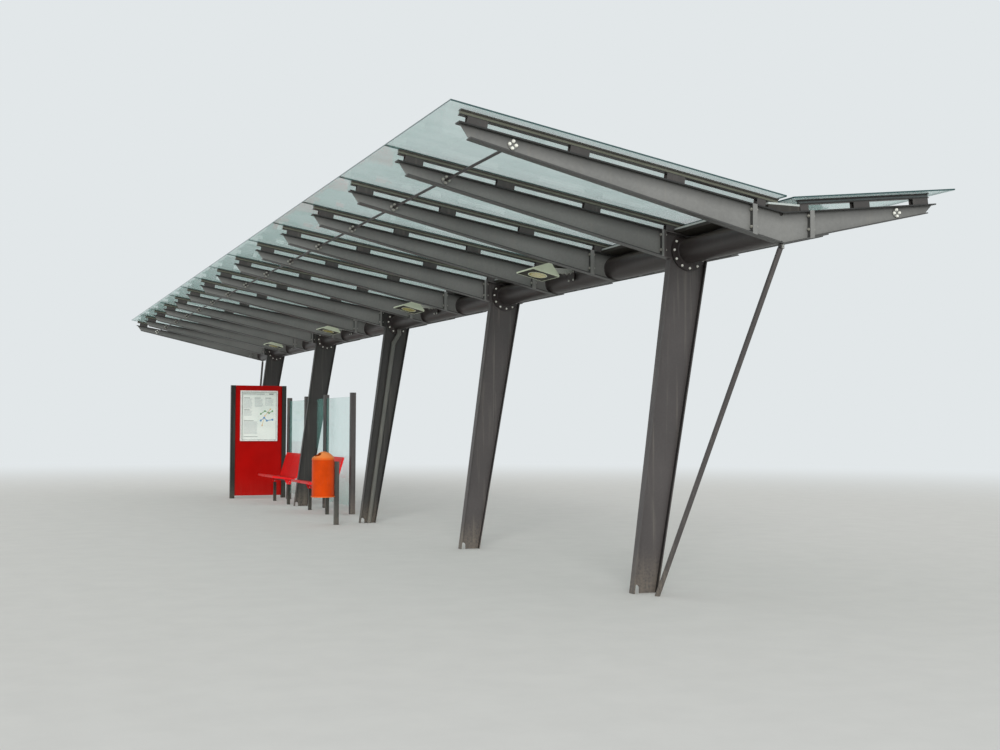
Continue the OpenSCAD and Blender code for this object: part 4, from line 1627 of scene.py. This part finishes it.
@dataclass(frozen=True)
class Camera:
    """The camera, at the photograph's place."""

    place: Triple = (-5.087, -17.140, 1.368)
    yaw: float = 22.547
    pitch: float = 2.364
    roll: float = 0.213
    lens: float = 45.008
    sensor: float = 36.0

    def build(self) -> None:
        """Adds the camera and makes it the scene's."""
        yaw, pitch, roll = (math.radians(v) for v in (self.yaw, self.pitch, self.roll))
        ahead = Vector((math.sin(yaw) * math.cos(pitch), math.cos(yaw) * math.cos(pitch), math.sin(pitch)))
        right = Vector((math.cos(yaw), -math.sin(yaw), 0.0))
        up = right.cross(ahead)
        right, up = (math.cos(roll) * right + math.sin(roll) * up,
                     math.cos(roll) * up - math.sin(roll) * right)
        data = bpy.data.cameras.new("view")
        data.lens = self.lens
        data.sensor_width = self.sensor
        data.clip_end = 2000.0
        camera = bpy.data.objects.new("view", data)
        turn = Matrix((right, up, -ahead)).transposed().to_4x4()
        camera.matrix_world = Matrix.Translation(self.place) @ turn
        bpy.context.scene.collection.objects.link(camera)
        bpy.context.scene.camera = camera


@dataclass(frozen=True)
class Stage:
    """Pale floor and backdrop, and a soft light from the camera's side."""

    ambient: float = 0.72
    daylight: Colour = (0.95, 0.98, 1.0, 1.0)
    key_strength: float = 2.3
    key_spread: float = 26.0
    key_from: Triple = (-0.46, -1.0, 0.27)
    floor_half: float = 900.0
    floor_z: float = -0.001
    fade: tuple[float, float] = (9.0, 30.0)

    def build(self) -> None:
        """Adds the world, the floor and the light."""
        self._world()
        self._floor()
        self._key()

    def _world(self) -> None:
        """Pale to the eye and in reflections, and an even light on all else."""
        world = bpy.data.worlds.new("studio")
        bpy.context.scene.world = world
        graph = Graph(world)
        lit = graph.add("ShaderNodeBackground", {}, {"Color": self.daylight, "Strength": self.ambient})
        shown = graph.add("ShaderNodeBackground", {}, {"Color": Shade.BACKDROP.linear, "Strength": 1.0})
        mixed = graph.add("ShaderNodeMixShader", {}, {0: self._seen(graph), 1: lit, 2: shown})
        graph.output(mixed, "ShaderNodeOutputWorld")

    @staticmethod
    def _seen(graph: Graph) -> Wire:
        """1 on rays from the eye, and on those that a mirror or glass sends on.

        Args:
            graph: The tree in which the nodes go.

        Returns:
            The mask.
        """
        names = ("Is Camera Ray", "Is Glossy Ray", "Is Transmission Ray")
        eye, mirror, through = (graph.add("ShaderNodeLightPath", output=name) for name in names)
        return eye.largest(mirror).largest(through)

    def _floor(self) -> None:
        """A pale floor that melts into the backdrop far away."""
        graph = Graph.material("floor_paint")
        far = graph.add("ShaderNodeVectorMath", {"operation": "LENGTH"}, {0: graph.place}, "Value")
        tooth = graph.noise(3.0, 5.0, 0.6)
        base = tooth.ramp(0.2, 0.8).blend(Shade.FLOOR.scaled(0.97), Shade.FLOOR.scaled(1.02))
        paint = graph.add("ShaderNodeBsdfDiffuse", {}, {"Color": base})
        glow = graph.add("ShaderNodeEmission", {}, {"Color": Shade.BACKDROP.linear, "Strength": 1.0})
        share = far.ramp(*self.fade) * self._seen(graph)
        finish = graph.output(graph.add("ShaderNodeMixShader", {}, {0: share, 1: paint, 2: glow}))
        half = self.floor_half
        mesh = bpy.data.meshes.new("floor")
        corners = ((-half, -half), (half, -half), (half, half), (-half, half))
        mesh.from_pydata([(x, y, self.floor_z) for x, y in corners], [], [(0, 1, 2, 3)])
        mesh.materials.append(finish)
        floor = bpy.data.objects.new("floor", mesh)
        bpy.context.scene.collection.objects.link(floor)

    def _key(self) -> None:
        """One broad soft light from behind the camera, which leaves no glare on glass."""
        data = bpy.data.lights.new("key", "SUN")
        data.angle = math.radians(self.key_spread)
        data.energy = self.key_strength
        lamp = bpy.data.objects.new("key", data)
        lamp.rotation_mode = "QUATERNION"
        lamp.rotation_quaternion = Vector(self.key_from).to_track_quat("Z", "Y")
        lamp.visible_glossy = False
        bpy.context.scene.collection.objects.link(lamp)


def build_roof(zinc: Material, rubber: Material, column_paint: Material) -> None:
    """Builds the steel frame, the roof cover and the lights.

    Args:
        zinc: Finish of bolts.
        rubber: Finish of seals.
        column_paint: Paint of the near columns.
    """
    SteelFrame(LAYOUT, RafterPaint("frame_paint", Shade.FRAME, streaks=0.2, chips=0.0).material(),
               column_paint,
               ColumnPaint("shaded_paint", Shade.SHADED, dust=0.3, streaks=0.15).material(),
               PaintedSteel("tube_paint", Shade.TUBE, dust=0.3, streaks=0.1, chips=0.0).material(),
               BareMetal("bright_zinc", Shade.BRIGHT_ZINC, 0.5, 0.15, 0.1).material(), zinc,
               BareMetal("dull_zinc", Shade.DULL_ZINC, 0.45, 0.7, 0.4).material()).build()
    short_rail = RailPaint("short_rail_paint", Shade.RAIL_LOW, roughness=0.4, chips=0.0,
                           face=Shade.RAIL_SHORT_FACE_HIGHLIGHT)
    RoofCover(RailPaint("rail_paint", Shade.RAIL, roughness=0.4, chips=0.0).material(), short_rail.material(),
              PaintedSteel("block_paint", Shade.BLOCK, streaks=0.2, chips=0.0).material(), rubber,
              Glass("roof_glass", Shade.GLASS, PaneFace.UP).material(),
              GutterPaint("gutter_metal", Shade.GUTTER_PAINTED_SHADE, dust=0.3, streaks=0.1, chips=0.0).material(),
              PaintedSteel("pipe_paint", Shade.PIPE, chips=0.0).material()).build()
    wall_plate = 0.034
    plate_x = LAYOUT.valley_x - LAYOUT.tube_d / 2 - wall_plate
    Floodlights(LAYOUT, PowderCoat("light_body", Shade.LIGHT_BODY, 0.45).material(),
                LampGlass("lamp_pane", Shade.LAMP_DARK, 0.0002, 0.5, 0.0, 0.1).material(),
                LampGlass("lamp_lens", Shade.LENS).material(), zinc,
                BareMetal("bracket_metal", Shade.ZINC, 0.45, 0.8, 0.3, plate_x).material()).build()


def build_furniture(zinc: Material, rubber: Material, column_paint: Material) -> None:
    """Builds the glass screen, the benches, the information panel and the litter bin.

    Args:
        zinc: Finish of bolts.
        rubber: Finish of seals.
        column_paint: Paint of the screen's posts.
    """
    screen_glass = Glass("screen_glass", Shade.GLASS, PaneFace.ACROSS, 0.05, 0.05).material()
    GlassScreen(column_paint, screen_glass, rubber).build()
    post_paint = PaintedSteel("post_paint", Shade.POST, streaks=0.1, splash=0.2).material()
    red_seat = PowderCoat("bench_red", Shade.RED_SEAT, specular=0.12, edge=Shade.SEAT_EDGE_HIGHLIGHT).material()
    Benches(LAYOUT, post_paint, red_seat, zinc).build()
    shades = {"dark": Shade.INK, "pale": Shade.INK_PALE, "green": Shade.INK_GREEN, "blue": Shade.INK_BLUE,
              "sand": Shade.INK_SAND}
    inks = {name: Print(f"ink_{name}", shade).material() for name, shade in shades.items()}
    InformationPanel(post_paint, PowderCoat("panel_red", Shade.RED, scuffs=0.06, specular=0.1).material(),
                     BareMetal("case_metal", Shade.CASE, 0.4, 0.2, 0.1).material(),
                     Glass("case_glass", Shade.GLASS, PaneFace.ALONG, 0.03, 0.05).material(),
                     Print("poster_paper", Shade.PAPER).material(), rubber, inks).build()
    LitterBin(PaintedSteel("leg_paint", Shade.LEG, streaks=0.2, splash=0.3).material(),
              Moulding("bin_plastic", Shade.ORANGE, 0.1).material(),
              Moulding("hood_plastic", Shade.HOOD, 0.3).material()).build()


def main() -> None:
    """Builds the scene's parts in order."""
    logging.basicConfig(level=logging.INFO, format="%(name)s: %(message)s")
    bpy.context.scene.view_settings.view_transform = "Standard"
    FRAME.update(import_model())
    Camera().build()
    Stage().build()
    zinc = BareMetal("zinc", Shade.ZINC, 0.32, 1.0, 0.15).material()
    rubber = Rubber("seal_rubber", Shade.RUBBER).material()
    column_paint = ColumnPaint("column_paint", Shade.COLUMN, streaks=0.25).material()
    build_roof(zinc, rubber, column_paint)
    build_furniture(zinc, rubber, column_paint)


if __name__ == "__main__":
    main()
